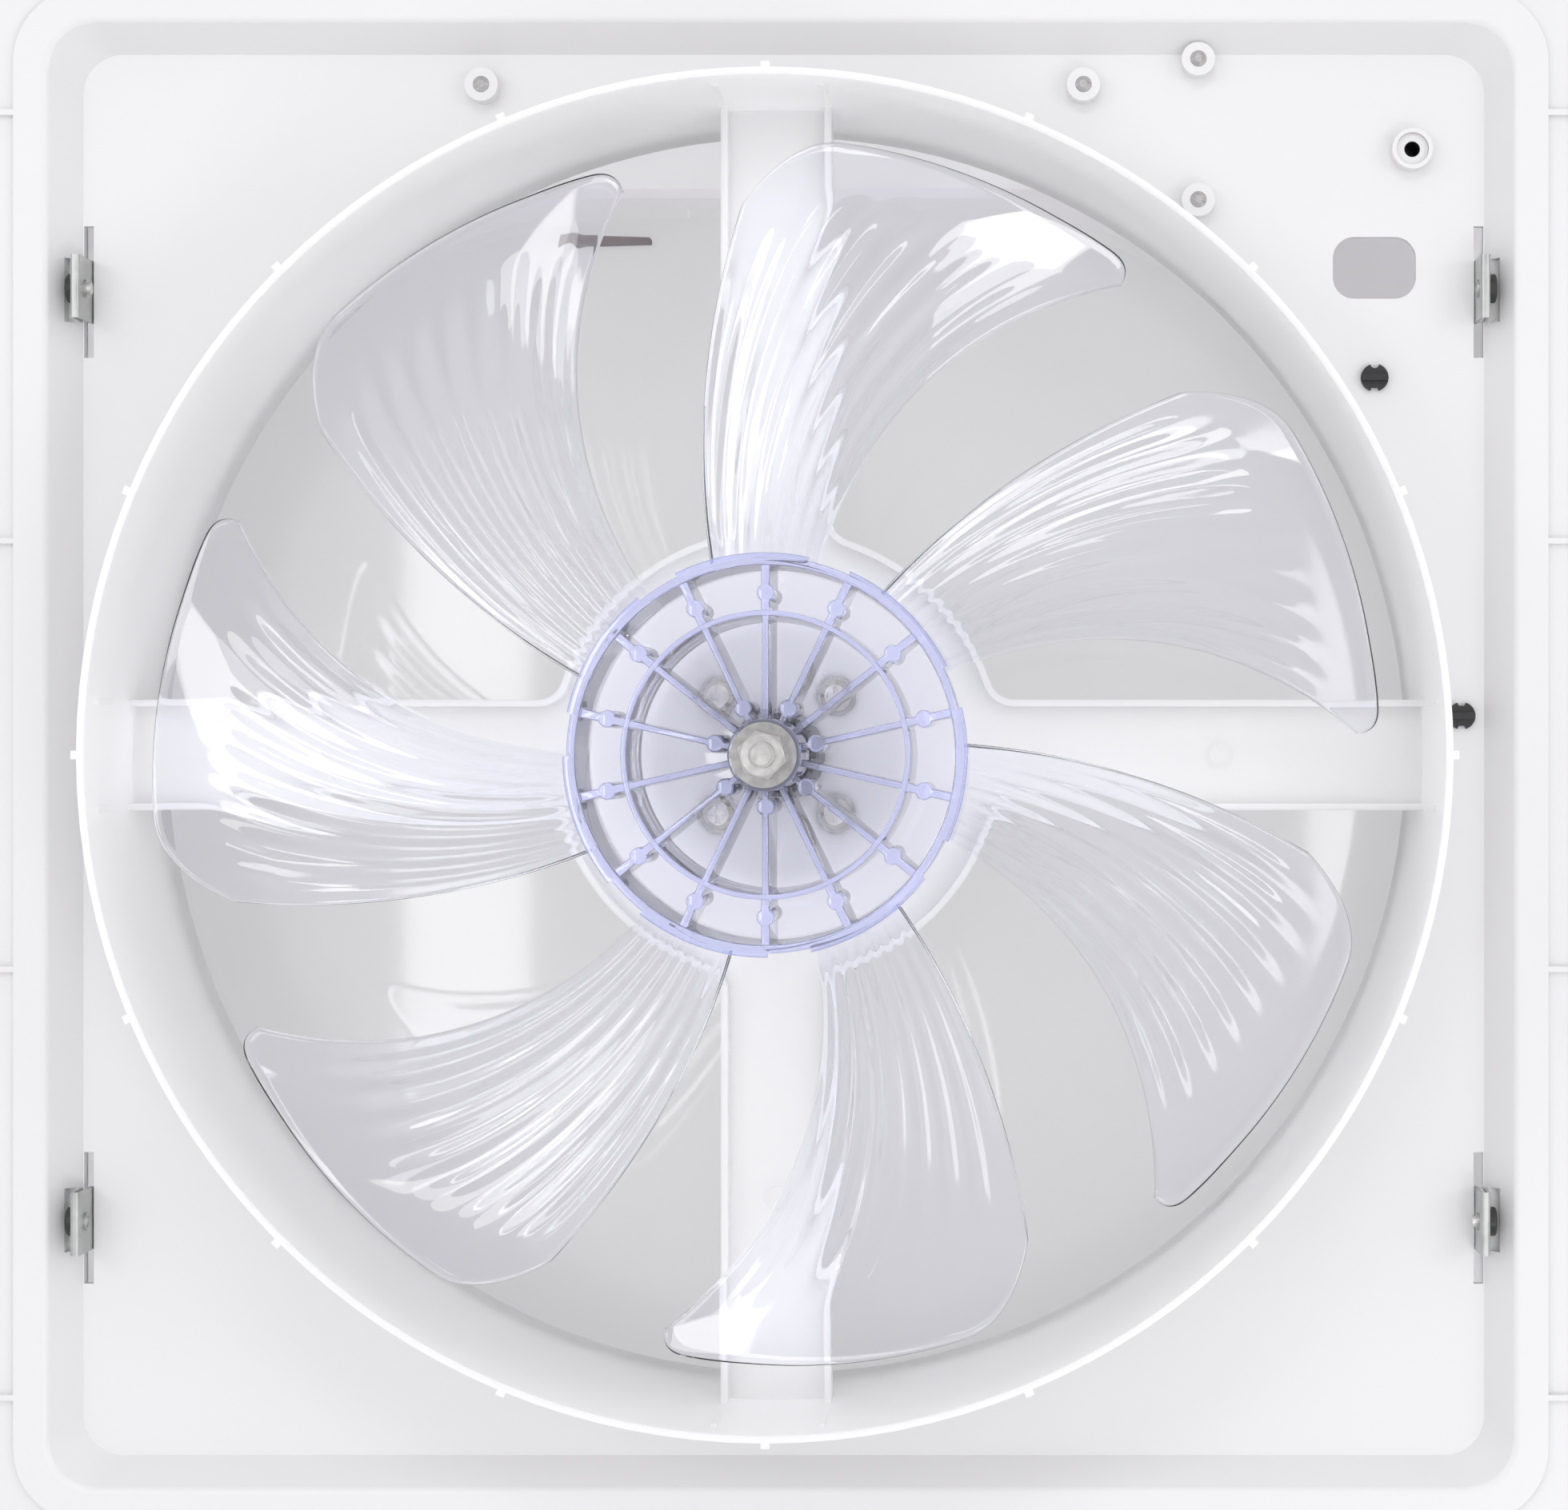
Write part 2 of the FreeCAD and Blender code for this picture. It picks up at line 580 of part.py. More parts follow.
def tube(outer, inner, low, high):
    """A ring between two heights."""
    ring = cut(cylinder(outer, "(%s) - (%s)" % (high, low), z=low),
               cylinder(inner, "(%s) - (%s) + 2" % (high, low), z="(%s) - 1" % low))
    return ring


def revolved(name, points):
    """A body turned about the fan axis from a profile of radius and height."""
    body = new_body(name + "_body")
    profile = sketch_on(body, "XZ_Plane")
    polygon(profile, points)
    revolve(body, profile)
    return body


# The motor stands on the outdoor face of the carrier disc.
BELL_Z = "arm_back_z"
BEARING_Z = "arm_back_z + bell_thick"
REAR_Z = "motor_back_z - motor_wall - bearing_thick"


def make_motor_case():
    inner = "motor_radius - motor_wall"
    low, top = BELL_Z, "motor_back_z"
    body = revolved("motor_case", [
        (inner, low), ("motor_radius", low), ("motor_radius", top + " - 4"), ("motor_radius - 4", top),
        ("0", top), ("0", top + " - motor_wall"), ("bearing_radius + 0.02", top + " - motor_wall"),
        ("bearing_radius + 0.02", REAR_Z), ("bearing_radius + 2", REAR_Z),
        ("bearing_radius + 2", top + " - motor_wall"), (inner + " - 3", top + " - motor_wall"),
        (inner, top + " - motor_wall - 3"),
    ])
    node("motor_case", body)


def make_motor_end_bell():
    seat = "bearing_radius + 0.02"
    body = revolved("motor_end_bell", [
        ("shaft_dia / 2 + 1.5", BELL_Z), ("motor_radius - motor_wall - 0.05", BELL_Z),
        ("motor_radius - motor_wall - 0.05", BEARING_Z), ("bearing_radius + 3", BEARING_Z),
        ("bearing_radius + 3", BEARING_Z + " + bearing_thick"), (seat, BEARING_Z + " + bearing_thick"),
        (seat, BEARING_Z), ("shaft_dia / 2 + 1.5", BEARING_Z),
    ])
    holes = circles_sketch(body, motor_hole_spots(), "motor_screw_dia / 2 - 0.2", BEARING_Z)
    pocket(body, holes, "bell_thick + 1")
    node("motor_end_bell", body)


def make_bearings():
    for name, low in (("front_bearing", BEARING_Z), ("rear_bearing", REAR_Z)):
        node(name, tube("bearing_radius", "shaft_dia / 2 + fit_gap", low, low + " + bearing_thick"))


def make_magnets():
    """Two field magnets, curved to the case wall."""
    ring = tube("motor_radius - motor_wall - 0.05", "magnet_inner", "magnet_z", "magnet_z + magnet_long")
    wide = "2 * motor_radius"
    gaps = box(wide, "magnet_gap", "magnet_long + 2", z="magnet_z - 1")
    node("magnets", cut(ring, gaps))


def make_armature():
    """Slotted lamination stack on the shaft."""
    body = new_body("armature_body")
    stack = sketch_on(body, "XY_Plane", "stack_z")
    circle(stack, "0", "0", "stack_radius")
    circle(stack, "0", "0", "shaft_dia / 2 + 0.01")
    pad(body, stack, "stack_long")
    slot = sketch_on(body, "XY_Plane", "stack_z + stack_long")
    mouth, deep = "1.1", "stack_radius - 2.2"
    polygon(slot, [("-" + mouth, "stack_radius + 1"), ("-" + mouth, deep), ("-2.6", deep), ("-1.6", "8.5"),
                   ("1.6", "8.5"), ("2.6", deep), (mouth, deep), (mouth, "stack_radius + 1")])
    polar(body, [pocket(body, slot, "stack_long")], "stack_slots")
    node("armature", body)


def make_windings():
    """Copper end turns as rounded rings on both faces of the stack."""
    rings = []
    for low, high in (("stack_z - winding_high", "stack_z"),
                      ("stack_z + stack_long", "stack_z + stack_long + winding_high")):
        rings.append(tube("stack_radius - 3", "stack_radius - 8", low + " + 0.05", high + " - 0.05"))
    node("windings", group(*rings))


def make_commutator():
    low = "stack_z + stack_long + winding_high"
    bore, collar = "shaft_dia / 2 + 0.01", "commutator_radius + riser_high"
    body = revolved("commutator", [
        (bore, low), (collar, low), (collar, low + " + riser_high"),
        ("commutator_radius", low + " + riser_high"), ("commutator_radius", low + " + commutator_long"),
        (bore, low + " + commutator_long"),
    ])
    gap = sketch_on(body, "XY_Plane", low + " + commutator_long")
    block(gap, "-0.25", "0.25", "commutator_radius - 1", "commutator_radius + 2")
    polar(body, [pocket(body, gap, "commutator_long")], "stack_slots")
    node("commutator", body)


def make_brushes():
    """Insulating brush plate and the two carbon brushes in it."""
    low = "stack_z + stack_long + winding_high + 1.8"
    reach = "motor_radius - motor_wall - 0.3"
    plate = tube(reach, "commutator_radius + 1.5", low, low + " + brush_high + 1.5")
    channel = box("2 * (%s) - 6" % reach, "brush_wide + 0.1", "brush_high", z=low + " - 0.05")
    node("brush_holder", cut(plate, channel))
    brushes = []
    for sign in ("1", "-1"):
        middle = "%s * (commutator_radius + 0.3 + brush_long / 2)" % sign
        brushes.append(box("brush_long", "brush_wide", "brush_high - 0.15", middle, "0", low))
    node("brushes", group(*brushes))


def make_motor_shaft():
    radius, top = "shaft_dia / 2", REAR_Z + " + bearing_thick"
    body = revolved("motor_shaft", [
        ("0", "shaft_tip_z"), (radius + " - tip_chamfer", "shaft_tip_z"),
        (radius, "shaft_tip_z + tip_chamfer"), (radius, top), ("0", top),
    ])
    node("motor_shaft", body)


def cross_recess(head_dia, x, y, z):
    """Two crossing slots for a screwdriver that reach 1 mm out of a screw head."""
    long, wide = "0.58 * (%s)" % head_dia, "0.15 * (%s)" % head_dia
    return [box(long, wide, "recess_deep + 1", x, y, z), box(wide, long, "recess_deep + 1", x, y, z)]


def make_motor_fasteners():
    """Pan-head screws and flat washers that hold the motor to the carrier."""
    screws, washers = [], []
    under = "arm_face_z - washer_sheet"
    for x, y in motor_hole_spots():
        ring = tube("motor_washer_dia / 2", "motor_screw_dia / 2 + 0.1", "0", "washer_sheet")
        washers.append(place(ring, x, y, under))
        radius = "motor_head_dia / 2"
        head = cone(radius + " - head_cone", radius, "head_cone", x, y, under + " - head_high")
        rim = cylinder(radius, "head_high - head_cone", x, y, under + " - head_high + head_cone")
        shank = cylinder("motor_screw_dia / 2 - 0.3", "motor_screw_long", x, y, under)
        recess = cross_recess("motor_head_dia", x, y, under + " - head_high - 1")
        screws.append(cut(fuse(head, rim, shank), *recess))
    node("motor_screws", group(*screws))
    node("motor_washers", group(*washers))


# The impeller: a ribbed cup hub that carries seven swept and fluted blades.
HUB_FLOOR = "hub_back_z - hub_web"
BLADE_STATIONS = [0.0, 0.14, 0.28, 0.42, 0.56, 0.68, 0.78, 0.88, 1.0]


def smooth_step(low, high, value):
    part = min(max((value - low) / (high - low), 0.0), 1.0)
    return part * part * (3.0 - 2.0 * part)


def blade_tip_radius(t):
    """Tip radius along the chord: a wide leading corner and a tight trailing one."""
    tip, swell = size("blade_tip_radius"), size("trail_swell")
    lead, trail = size("lead_corner_share"), size("trail_corner_share")
    if t < lead:
        return tip - size("lead_corner_drop") * (1.0 - t / lead) ** size("lead_corner_power")
    if t > 1.0 - trail:
        past = (t - 1.0 + trail) / trail
        return tip + swell - size("trail_corner_drop") * past ** size("trail_corner_power")
    return tip + swell * smooth_step(0.7, 1.0 - trail, t)


def blade_point(s, t, flute, lift):
    """A point of the reference blade at span share s and chord share t."""
    root = size("hub_radius - hub_wall / 2")
    radius = root + s * (blade_tip_radius(t) - root)
    reach = (radius - root) / (size("blade_tip_radius") - root)
    lead = size("root_lead_angle") * (1.0 - reach)
    sweep = size("tip_trail_angle - root_trail_angle") * reach ** size("trail_sweep_power")
    trail = size("root_trail_angle") + sweep
    angle = math.radians(lead + t * (trail - lead))
    lead_z = size("blade_lead_z") + size("blade_lead_rise") * reach
    camber = size("blade_camber") * 4.0 * t * (1.0 - t)
    fade = 1.0 - smooth_step(size("flute_fade_start"), size("flute_fade_end"), s)
    z = lead_z + t * (size("blade_trail_z") - lead_z) - camber + flute * size("flute_deep") * fade
    share = size("root_thick_share") + reach * size("tip_thick_share - root_thick_share")
    return V(-radius * math.sin(angle), radius * math.cos(angle), z + lift * share * size("blade_thick"))


def blade_lines():
    """Chord shares of the plain rims and of the crest and valley lines, with flute signs."""
    first = size("flute_first")
    rim = [0.0, 0.28 * first, 0.61 * first]
    count = 2 * int(size("flute_count")) + 1
    lines = [(share, 0) for share in rim]
    for step in range(count):
        lines.append((first + (1.0 - 2.0 * first) * step / (count - 1), 1 if step % 2 else -1))
    return lines + [(1.0 - share, 0) for share in reversed(rim)]


def blade_curve(t, flute, lift):
    curve = Part.BSplineCurve()
    curve.interpolate([blade_point(s, t, flute, lift) for s in BLADE_STATIONS])
    return curve.toShape()


def blade_solid():
    """Ruled strips between crest and valley lines, closed along the blade's rim."""
    low = [blade_curve(t, flute, 0.0) for t, flute in blade_lines()]
    high = [blade_curve(t, flute, 1.0) for t, flute in blade_lines()]
    faces = []
    for sheet_lines in (low, high):
        faces += [Part.makeRuledSurface(a, b) for a, b in zip(sheet_lines, sheet_lines[1:])]
    faces += [Part.makeRuledSurface(low[i], high[i]) for i in (0, -1)]
    for i in range(len(low) - 1):
        for end in (0, -1):
            edges = [Part.makeLine(line[i].Vertexes[end].Point, line[i + 1].Vertexes[end].Point)
                     for line in (low, high)]
            faces.append(Part.makeRuledSurface(*edges))
    shell = Part.makeShell(faces)
    shell.sewShape()
    solid = Part.makeSolid(shell)
    if solid.Volume < 0:
        solid.reverse()
    return solid


def rim_lip():
    """The narrow lip on the hub's rim that runs ahead of a blade root."""
    outer = bind(doc.addObject("Part::Cylinder", "lip"), Radius="hub_radius + lip_deep",
                 Height="lip_high", Angle="lip_span")
    inner = plain_cylinder("hub_radius - hub_wall / 2", "lip_high", "0", "0", "0")
    lip = cut(outer, inner)
    lip.Placement = FreeCAD.Placement(V(0, 0, size("hub_near_z")), FreeCAD.Rotation())
    return lip


def make_impeller():
    """Ribbed cup hub with seven fluted blades in one clear moulding."""
    wall = tube("hub_radius", "hub_radius - hub_wall", "hub_near_z", "hub_back_z")
    web = cylinder("hub_radius - hub_wall / 2", "hub_web", z=HUB_FLOOR)
    ring_low = "hub_near_z + 1"
    ring_high = HUB_FLOOR + " + overlap - (%s)" % ring_low
    ring_inner = "hub_ring_radius - hub_ring_wall"
    ring = cut(cone("hub_ring_radius", "hub_ring_radius + hub_ring_draft", ring_high, z=ring_low),
               cone(ring_inner, ring_inner + " - hub_ring_draft", ring_high, z=ring_low))
    boss = cylinder("hub_boss_radius", "hub_back_z - hub_boss_z", z="hub_boss_z")
    high = HUB_FLOOR + " - hub_rib_z + overlap"
    count = int(size("hub_rib_count"))

    def rib(thick, start, end):
        length = "(%s) - (%s)" % (end, start)
        middle = "((%s) + (%s)) / 2" % (start, end)
        return around(lambda: plain_box(thick, length, high, "0", middle, "hub_rib_z"), count)

    ribs = rib("hub_rib_thick", "hub_bore_root", "hub_ring_radius")
    ribs += rib("hub_rib_outer", "hub_ring_radius - hub_ring_wall / 2", "hub_radius - hub_wall / 2")
    pads = around(lambda: plain_cylinder("pad_dia / 2", high, "0", "pad_radius", "hub_rib_z"), count)
    half = count // 2
    pads += around(lambda: plain_cylinder("pad_dia / 2", high, "0", "inner_pad_radius", "hub_rib_z"),
                   half, 180.0 / half)
    blade_count = int(size("blade_count"))
    lips = around(rim_lip, blade_count, 90.0 - size("lip_start"))
    hub = cut(fuse(wall, web, ring, boss, *ribs, *pads, *lips),
              cylinder("shaft_dia / 2 + 0.02", "60", z="hub_boss_z - 5"))
    shape = blade_solid()

    def blade():
        copy = doc.addObject("Part::Feature", "blade")
        copy.Shape = shape
        return copy

    node("impeller", fuse(hub, *around(blade, blade_count)))


def make_drive_collar():
    """Toothed collar pressed on the shaft behind the hub."""
    body = new_body("collar_body")
    disc = sketch_on(body, "XY_Plane", "hub_back_z + 0.02")
    circle(disc, "0", "0", "collar_radius")
    circle(disc, "0", "0", "shaft_dia / 2 + 0.01")
    pad(body, disc, "collar_thick")
    gap = sketch_on(body, "XY_Plane", "hub_back_z + collar_thick + 0.02")
    block(gap, "-0.8", "0.8", "collar_radius - 1.8", "collar_radius + 1")
    polar(body, [pocket(body, gap, "collar_thick")], "collar_teeth")
    node("drive_collar", body)


def make_hub_fasteners():
    washer = tube("washer_radius", "shaft_dia / 2 + 0.2", "hub_boss_z - washer_thick", "hub_boss_z")
    node("hub_washer", washer)
    body = new_body("nut_body")
    flats = sketch_on(body, "XY_Plane", "hub_boss_z - washer_thick")
    corner = "nut_flats / sqrt(3)"
    polygon(flats, [("%s * cos(%d deg)" % (corner, a), "%s * sin(%d deg)" % (corner, a))
                    for a in range(15, 375, 60)])
    circle(flats, "0", "0", "shaft_dia / 2 + 0.02")
    pad(body, flats, "nut_thick", down=True)
    chamfer = sketch_on(body, "XZ_Plane")
    low = "hub_boss_z - washer_thick - nut_thick"
    edge = "nut_flats / 2 * 0.96"
    polygon(chamfer, [(edge, low + " - 1"), ("nut_flats", low + " - 1"), ("nut_flats", low + " + 2.2"),
                      (edge + " + 0.6", low + " + 0.35"), (edge, low)])
    groove = body.newObject("PartDesign::Groove", "groove")
    groove.Profile = chamfer
    groove.ReferenceAxis = (chamfer, ["V_Axis"])
    groove.Angle = 360
    node("hub_nut", body)


# The lid: a low smoked dome that swings on two hinges behind the curb.
BEND_STEPS = 3


def crown_level(body, skin, share, inset, sunk="0"):
    """An outline of the lid's crown, a share of the way from its seat to its flat top."""
    def between(low, high):
        return "(%s) + %s * ((%s) - (%s))" % (low, share, high, low)

    once, twice = " + %s - %s" % (skin, inset), " + 2 * (%s - %s)" % (skin, inset)
    level = sketch_on(body, "XY_Plane", between("lid_seat_z", "lid_flat_z") + " + %s - %s" % (skin, sunk))
    rounded_rectangle(level, between("lid_seat_side", "lid_flat_wide") + twice,
                      between("lid_seat_side", "lid_flat_rear - lid_flat_front") + twice,
                      between("lid_seat_corner", "lid_flat_corner") + once,
                      "0", between("0", "(lid_flat_rear + lid_flat_front) / 2"))
    return level


def lid_form(skin, low_z):
    """The lid's hollow from a height up, or its outer form when a skin is added all round."""
    body = new_body("lid_form")
    side, corner = "lid_side - 2 * lid_wall + 2 * " + skin, "lid_corner - lid_wall + " + skin
    skirt = square_sketch(body, side, corner, low_z)
    pad(body, skirt, "lid_seat_z + %s - (%s)" % (skin, low_z))
    crown = body.newObject("PartDesign::AdditiveLoft", "crown")
    crown.Profile = crown_level(body, skin, "0", "0", "overlap")
    levels = []
    for step in range(BEND_STEPS + 1):
        past = step / BEND_STEPS
        share = "(1 - %.4f * (1 - bend_start))" % (1.0 - past) ** 2
        levels.append(crown_level(body, skin, share, "%.4f * bend_in" % past ** 2))
    crown.Sections = levels
    crown.Ruled = True
    return body


def hinge_lug(x):
    """An eye behind the skirt that turns on the hinge pin."""
    eye = rod("hinge_eye", "lug_wide", x, "hinge_y", "hinge_z")
    long = "hinge_y - lid_side / 2 + 1.5"
    web = box("lug_wide", long, "2 * hinge_eye", "%s + lug_wide / 2" % x, "hinge_y - (%s) / 2" % long,
              "hinge_z - hinge_eye")
    return fuse(eye, web)


def lug_starts():
    """Lower ends along X of the lid's eyes, one on each side of both brackets."""
    starts = []
    for sign in ("1", "-1"):
        starts.append("%s * hinge_spread + bracket_wide / 2 + 0.3" % sign)
        starts.append("%s * hinge_spread - bracket_wide / 2 - 0.3 - lug_wide" % sign)
    return starts


def make_lid():
    bores = [rod("hinge_pin_dia / 2 + 0.05", "lug_wide + 2", "%s - 1" % x, "hinge_y", "hinge_z")
             for x in lug_starts()]
    shell = cut(lid_form("lid_wall", "lid_low_z"), lid_form("0", "lid_low_z"))
    node("lid", cut(fuse(shell, *[hinge_lug(x) for x in lug_starts()]), *bores))


def make_lid_track():
    """Slotted plate under the lid that the lift roller runs in."""
    high = "lid_flat_z - track_low_z"
    plate = box("track_thick", "track_long", high, "track_x", "track_y", "track_low_z")
    trimmed = doc.addObject("Part::Common", "trimmed")
    trimmed.Base = plate
    trimmed.Tool = lid_form("0", "track_low_z - 1")
    through = "3 * track_thick"
    long = "track_long - 2 * track_end - slot_high"
    tools = [box(through, long, "slot_high", "track_x", "track_y", "lift_z - slot_high / 2")]
    for sign in ("1", "-1"):
        end_y = "track_y + %s * (%s) / 2" % (sign, long)
        tools.append(rod("slot_high / 2", through, "track_x - (%s) / 2" % through, end_y, "lift_z"))
    node("lid_track", cut(trimmed, *tools))


def make_lid_strap():
    """The tapered dark tab under the lid."""
    body = new_body("strap_body")
    face = sketch_on(body, "XY_Plane", "lid_flat_z")
    left, right = "strap_x + strap_long / 2", "strap_x - strap_long / 2"
    polygon(face, [(left, "strap_y - strap_wide / 2"), (left, "strap_y + strap_wide / 2"),
                   (right, "strap_y + strap_tip / 2"), (right, "strap_y - strap_tip / 2")])
    pad(body, face, "strap_high", down=True)
    node("lid_strap", body)


def make_lid_seal():
    body = new_body("seal_body")
    ring = square_sketch(body, "curb_outer", "curb_corner", "curb_top")
    inner = "curb_outer - 2 * curb_wall"
    rounded_rectangle(ring, inner, inner, "curb_corner - curb_wall")
    pad(body, ring, "lid_seat_z - curb_top - 0.1")
    node("lid_seal", body)


def make_hinge_brackets():
    """Straps that pass through the curb and rise to the hinge eyes."""
    brackets = []
    floor_top = "recess_depth + floor_thick"
    for sign in ("1", "-1"):
        body = new_body("bracket_body")
        middle = sign + " * hinge_spread"
        side = sketch_on(body, "YZ_Plane", middle + " - bracket_wide / 2")
        polygon(side, [
            ("hinge_screw_y - 6", floor_top), ("hinge_y + bracket_thick", floor_top),
            ("hinge_y + bracket_thick", "hinge_z"), ("hinge_y - bracket_thick", "hinge_z"),
            ("hinge_y - bracket_thick", floor_top + " + bracket_thick"),
            ("hinge_screw_y - 6", floor_top + " + bracket_thick"),
        ])
        pad(body, side, "bracket_wide")
        eye_x = middle + " - bracket_wide / 2"
        eye = rod("hinge_eye", "bracket_wide", eye_x, "hinge_y", "hinge_z")
        bore = rod("hinge_pin_dia / 2 + 0.05", "bracket_wide + 2", eye_x + " - 1", "hinge_y", "hinge_z")
        hole = cylinder("floor_screw_dia / 2 + 0.1", "hole_reach", middle, "hinge_screw_y", "recess_depth")
        brackets.append(cut(fuse(body, eye), bore, hole))
    node("hinge_brackets", group(*brackets))


def make_hinge_pins():
    long = "bracket_wide + 2 * lug_wide + 0.6"
    starts = ["%s * hinge_spread - (%s) / 2" % (sign, long) for sign in ("1", "-1")]
    node("hinge_pins", group(*[rod("hinge_pin_dia / 2", long, x, "hinge_y", "hinge_z") for x in starts]))


def floor_screw(x, y, seat):
    """A pan-head screw driven down through the pan floor, its tip showing below."""
    head_dia = "1.9 * floor_screw_dia"
    head = cylinder(head_dia + " / 2", "head_high", x, y, seat)
    low = "recess_depth - boss_high - 1"
    radius = "floor_screw_dia / 2 - 0.05"
    shank = cylinder(radius, "(%s) - (%s) - 1 + overlap" % (seat, low), x, y, low + " + 1")
    tip = cone(radius + " - 1", radius, "1", x, y, low)
    recess = cross_recess(head_dia, x, y, seat + " + head_high - recess_deep")
    return cut(fuse(head, shank, tip), *recess)


def shroud_screw(x, y):
    """A short screw that holds an ear of the shroud to its post."""
    seat = "recess_depth + floor_thick + shroud_post + ear_thick"
    head_dia = "2 * shroud_screw_dia"
    head = cylinder(head_dia + " / 2", "head_high", x, y, seat)
    long = "ear_thick + shroud_post - 1"
    shank = cylinder("shroud_screw_dia / 2 - 0.05", long, x, y, "%s - (%s)" % (seat, long))
    return cut(fuse(head, shank), *cross_recess(head_dia, x, y, seat + " + head_high - recess_deep"))


def make_floor_screws():
    floor_top = "recess_depth + floor_thick"
    on_bracket, on_foot = floor_top + " + bracket_thick", floor_top + " + foot_thick"
    node("hinge_screws", group(*[floor_screw(x, y, on_bracket) for x, y in hinge_spots()]))
    node("lift_screws", group(*[floor_screw(x, y, on_foot) for x, y in lift_spots()]))
    node("shroud_screws", group(*[shroud_screw(x, y) for x, y in ear_spots()]))


# The lid lift: crank shaft with worm, worm wheel, swinging arm and roller.
WHEEL_Y = "crank_y + worm_radius + wheel_radius + 0.3"


def make_lift_housing():
    floor_top = "recess_depth + floor_thick"
    foot_low, foot_high = "crank_y - 19", "curb_outer / 2 - curb_wall - 1"
    foot = box("lift_screw_x - crank_x + 13", "%s - (%s)" % (foot_high, foot_low), "foot_thick",
               "(crank_x + lift_screw_x) / 2 - 0.5", "((%s) + (%s)) / 2" % (foot_low, foot_high), floor_top)
    y_low, y_high = "crank_y - 7", WHEEL_Y + " + wheel_radius + 2.2"
    shell = box("box_wide", "%s - (%s)" % (y_high, y_low), "box_top - (%s)" % floor_top, "crank_x",
                "((%s) + (%s)) / 2" % (y_low, y_high), floor_top)
    room = box("box_wide - 2 * box_wall", "%s - (%s) - 2 * box_wall" % (y_high, y_low),
               "box_top - (%s) - box_wall + 1" % floor_top, "crank_x",
               "((%s) + (%s)) / 2" % (y_low, y_high), floor_top + " - 1")
    ring_room = cylinder("shoulder_radius + 1.5", "hole_reach", z=floor_top + " - 1")
    hole = "floor_screw_dia / 2 + 0.1"
    holes = [cylinder(hole, "hole_reach", x, y, "recess_depth") for x, y in lift_spots()]
    axle_hole = rod("axle_dia / 2 + 0.05", "2 * box_wide", "crank_x - box_wide", WHEEL_Y, "lift_z")
    node("lift_housing", cut(fuse(foot, shell), room, ring_room, axle_hole, *holes))


def make_crank_shaft():
    """Upright shaft with a socket for a knob at its cabin end and the worm above it."""
    body = revolved("crank_shaft", [
        ("socket_dia / 2", "socket_z"), ("crank_bore_dia / 2 - 0.05", "socket_z"),
        ("crank_bore_dia / 2 - 0.05", "recess_depth + floor_thick + 0.5"),
        ("worm_radius", "recess_depth + floor_thick + 1.5"), ("worm_radius", "box_top - box_wall - 0.4"),
        ("0", "box_top - box_wall - 0.4"), ("0", "socket_z + socket_deep"),
        ("socket_dia / 2", "socket_z + socket_deep"),
    ])
    place(body, "crank_x", "crank_y", "0")
    node("crank_shaft", body)


def make_worm_wheel():
    """Toothed wheel with a through axle that carries the lift arm."""
    body = new_body("wheel_body")
    face = sketch_on(body, "XY_Plane", "-wheel_wide / 2")
    circle(face, "0", "0", "wheel_radius")
    pad(body, face, "wheel_wide")
    gap = sketch_on(body, "XY_Plane", "wheel_wide / 2")
    polygon(gap, [("-0.35", "wheel_radius - 1.2"), ("0.35", "wheel_radius - 1.2"),
                  ("0.7", "wheel_radius + 0.5"), ("-0.7", "wheel_radius + 0.5")])
    polar(body, [pocket(body, gap, "wheel_wide")], "wheel_teeth")
    body.Placement = FreeCAD.Placement(V(), FreeCAD.Rotation(Z_AXIS, X_AXIS))
    place(body, "crank_x", WHEEL_Y, "lift_z")
    arm_face = "arm_x - lift_arm_thick / 2 - 0.4"
    axle_long = "crank_x + box_wide / 2 + 0.5 - (%s)" % arm_face
    axle = rod("axle_dia / 2", axle_long, arm_face, WHEEL_Y, "lift_z")
    node("worm_wheel", fuse(body, axle))


def make_lift_arm():
    low = "arm_x - lift_arm_thick / 2"
    tip_y = WHEEL_Y + " - lift_arm_long"
    ends = [rod("lift_arm_wide / 2", "lift_arm_thick", low, y, "lift_z") for y in (WHEEL_Y, tip_y)]
    bar = box("lift_arm_thick", "lift_arm_long", "lift_arm_wide", "arm_x", WHEEL_Y + " - lift_arm_long / 2",
              "lift_z - lift_arm_wide / 2")
    holes = [rod(radius, "lift_arm_thick + 2", low + " - 1", y, "lift_z")
             for radius, y in (("axle_dia / 2 + 0.01", WHEEL_Y), ("roller_pin_dia / 2 + 0.01", tip_y))]
    node("lift_arm", cut(fuse(bar, *ends), *holes))
    high = "arm_x + lift_arm_thick / 2 + 0.5"
    far = "track_x - track_thick / 2 - 0.6"
    node("roller_pin", rod("roller_pin_dia / 2", "%s - (%s)" % (high, far), far, tip_y, "lift_z"))
    roller_low = "track_x - track_thick / 2"
    roller_high = low + " - 0.3"
    long = "%s - (%s)" % (roller_high, roller_low)
    roller = cut(rod("roller_radius", long, roller_low, tip_y, "lift_z"),
                 rod("roller_pin_dia / 2 + 0.03", long + " + 2", roller_low + " - 1", tip_y, "lift_z"))
    node("lift_roller", roller)


